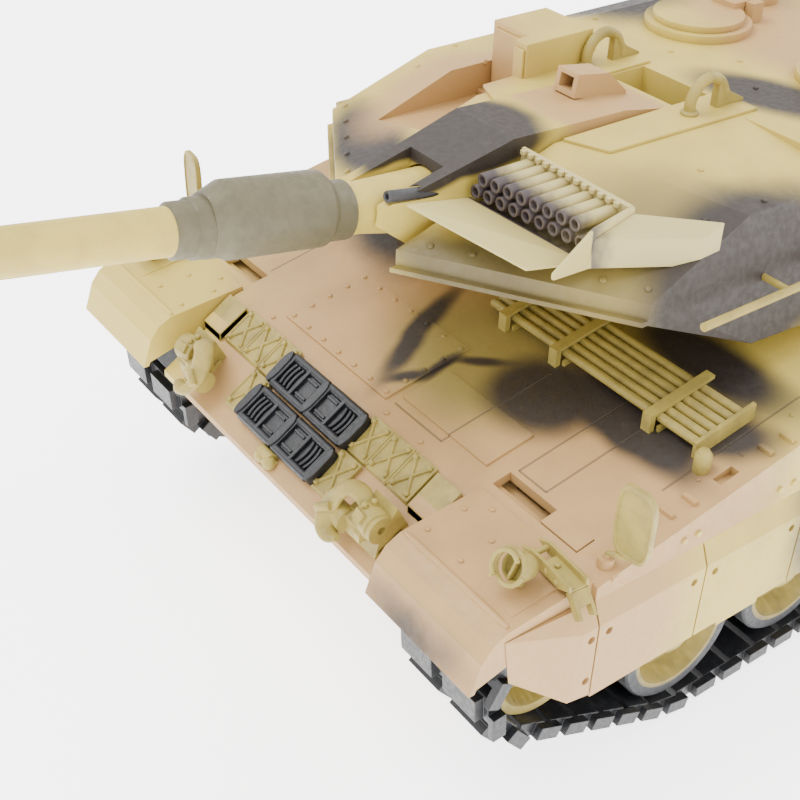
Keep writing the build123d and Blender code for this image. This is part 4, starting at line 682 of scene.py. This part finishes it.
# ------------------------------------------------------------------ glacis
def glacis_bolts():
    """Round-headed bolts round the bolted panels, along the deck edge and on the roof of the hull."""
    s = Stock()
    x0, x1, y0, y1 = -40.6, 14.6, -192.6, -163.0
    spots = [(x, y0) for x in np.linspace(x0, x1, 7)] + [(x, y1) for x in np.linspace(x0, x1, 7)]
    spots += [(x, y) for x in (x0, x1) for y in np.linspace(y0, y1, 5)[1:-1]]
    spots += [(x, -200.0 + 2.2) for x in (-46, 22, 40)]
    bolts(s, "upper_hull", spots)
    edge_ys = (-176.0, -150.0, -112.0, -86.0, -40.0, 0.0, 40.0, 80.0, 120.0)
    edge = [(x, y) for y in edge_ys for x in (108.0, -108.0)]
    bolts(s, "upper_hull", edge, 0.8, 0.5)
    rear = [(x, y) for x in (-101, -70, -41, -30, 0, 30, 41, 70, 101) for y in (153.0, 223.0)]
    bolts(s, "upper_hull", rear, 1.0, 0.7)
    return s.piece("hull_bolts", "hull", hull_paint_and_shade)


def skirt_bolts():
    """Screw heads sunk in the skirt panels' recesses and round heads on the side plates."""
    s = Stock()
    screw_ys = (-191.0, -164.4, -158.8, -124.7, -118.6, -82.0,
                -40.0, 2.0, 44.0, 86.0, 128.0, 170.0, 212.0)
    spots = [(sx * 118.0, y, 93.2) for sx in BOTH for y in screw_ys]
    s.domes(spots, [(np.sign(p[0]), 0, 0) for p in spots], 1.15, 0.8, 12)
    return s.piece("skirt_bolts", "hull", skirt_spray)


# ------------------------------------------------------------------ turret
def turret_bolts():
    """Bolts along the noses and edges of the cheek blocks, the roof strips and the roof."""
    s = Stock()
    nose = [(sx * (20.0 + 58.0 * t), -184.0 + 38.0 * t) for t in np.linspace(0.03, 0.97, 6) for sx in BOTH]
    bolts(s, "wedge_armour", nose, 1.1, 0.8)
    back_spots = ((70.0, -120.0), (74.0, -100.0), (52.0, -104.0), (74.0, -78.0))
    back = [(sx * x, y) for sx in BOTH for x, y in back_spots]
    bolts(s, "wedge_armour", back, 1.0, 0.7)
    strip = [(sx * x, y) for sx in BOTH for x in (18.0, 29.5) for y in (-118.0, -108.0, -98.0, -88.0)]
    bolts(s, "turret_shell", strip, 0.9, 0.7)
    roof = [(x, y) for x in (-60, -20, 20, 60) for y in (-44.0, 60.0, 90.0)] + [(0.0, -30.0), (0.0, 30.0)]
    bolts(s, "turret_shell", roof, 1.0, 0.7)
    return s.piece("turret_bolts", "turret", turret_spray)


def roof_strips():
    """Raised bolted strips each side of the gun slot, cut off at a slant in front."""
    s = Stock()
    for flip in BOTH:
        outline = [(16.2, -128.0), (31.0, -122.0), (33.0, -58.0), (16.2, -58.0)]
        s.slab(outline, ROOF_Z, ROOF_Z + 1.1, at(0, 0, 0, flip=flip))
    return s.piece("roof_strips", "turret", turret_spray, bevel=0.25)


def hook_pair():
    """Lifting hooks: a round bar bent into an arch, its front foot in a collar, its rear in a gusset."""
    s = Stock()
    for flip in BOTH:
        x = 24.5
        arch = ((-81.0, 166.0), (-81.2, 170.5), (-78.5, 175.0), (-73.5, 176.8), (-68.5, 174.6),
                (-66.0, 170.5), (-65.5, 167.0))
        s.tube(curve([(x, y, z) for y, z in arch], 30), 1.9, 16, at(0, 0, 0, flip=flip))
        s.turned([(3.0, 0.0), (3.0, 0.8), (2.4, 1.4), (2.1, 1.5)], at(x, -81.0, 166.0, flip=flip), 24)
        gusset = [(-70.0, 166.0), (-57.0, 166.0), (-57.0, 166.8), (-64.0, 170.5), (-67.0, 174.2),
                  (-70.0, 174.0)]
        s.slab(gusset, -1.5, 1.5,
               at(x, 0, 0, flip=flip) @ Matrix(((0, 0, 1, 0), (1, 0, 0, 0), (0, 1, 0, 0), (0, 0, 0, 1))))
    return s.piece("hook_arches", "turret", detail_cast, "lifting_hooks", bevel=0.2)


grouser_ribs()
spare_links()
tow_hooks()
bow_blocks()
guard_trim()
lamp_set()
fold_brackets()
mirror("left", 1)
mirror("right", -1)
glacis_bolts()
skirt_bolts()
turret_bolts()
roof_strips()
hook_pair()


# ------------------------------------------------------------------ studio
def studio():
    bpy.ops.mesh.primitive_plane_add(size=14.0, location=(0, 0, 0))
    floor = bpy.context.object
    floor.name = "studio_floor"
    floor.data.materials.append(floor_finish())
    world = bpy.data.worlds.new("studio_world")
    bpy.context.scene.world = world
    world.use_nodes = True
    world.node_tree.nodes["Background"].inputs["Color"].default_value = (1.0, 1.0, 1.0, 1.0)
    world.node_tree.nodes["Background"].inputs["Strength"].default_value = 1.9
    for name, place, aim, size, power in (
            ("key", (-0.6, -0.7, 1.5), (0.0, -0.15, 0.1), 0.9, 30.0),
            ("fill", (1.3, -0.5, 0.9), (0.0, -0.15, 0.1), 0.9, 10.0),
            ("rim", (0.2, 1.2, 1.1), (0.0, -0.1, 0.1), 1.0, 13.0)):
        light = bpy.data.lights.new(name, "AREA")
        light.size = size
        light.energy = power
        lamp = bpy.data.objects.new(name, light)
        bpy.context.scene.collection.objects.link(lamp)
        lamp.location = place
        lamp.rotation_euler = (Vector(aim) - Vector(place)).to_track_quat("-Z", "Y").to_euler()


def camera():
    """Three-quarter view of the bow from the tank's left, looking down."""
    azimuth, elevation, roll = math.radians(53.22), math.radians(35.68), math.radians(1.58)
    back = Vector((math.sin(azimuth) * math.cos(elevation), -math.cos(azimuth) * math.cos(elevation),
                   math.sin(elevation)))
    right = (-back).cross(Vector((0, 0, 1))).normalized()
    up = right.cross(-back)
    cam_x = right * math.cos(roll) + up * math.sin(roll)
    cam_y = up * math.cos(roll) - right * math.sin(roll)
    data = bpy.data.cameras.new("camera")
    data.lens = 59.08
    data.sensor_width = 36.0
    data.clip_start = 0.01
    cam = bpy.data.objects.new("camera", data)
    bpy.context.scene.collection.objects.link(cam)
    place = Matrix((cam_x, cam_y, back)).transposed().to_4x4()
    place.translation = Vector((0.29062, -0.3935, 0.33648))
    cam.matrix_world = place
    bpy.context.scene.camera = cam


studio()
camera()
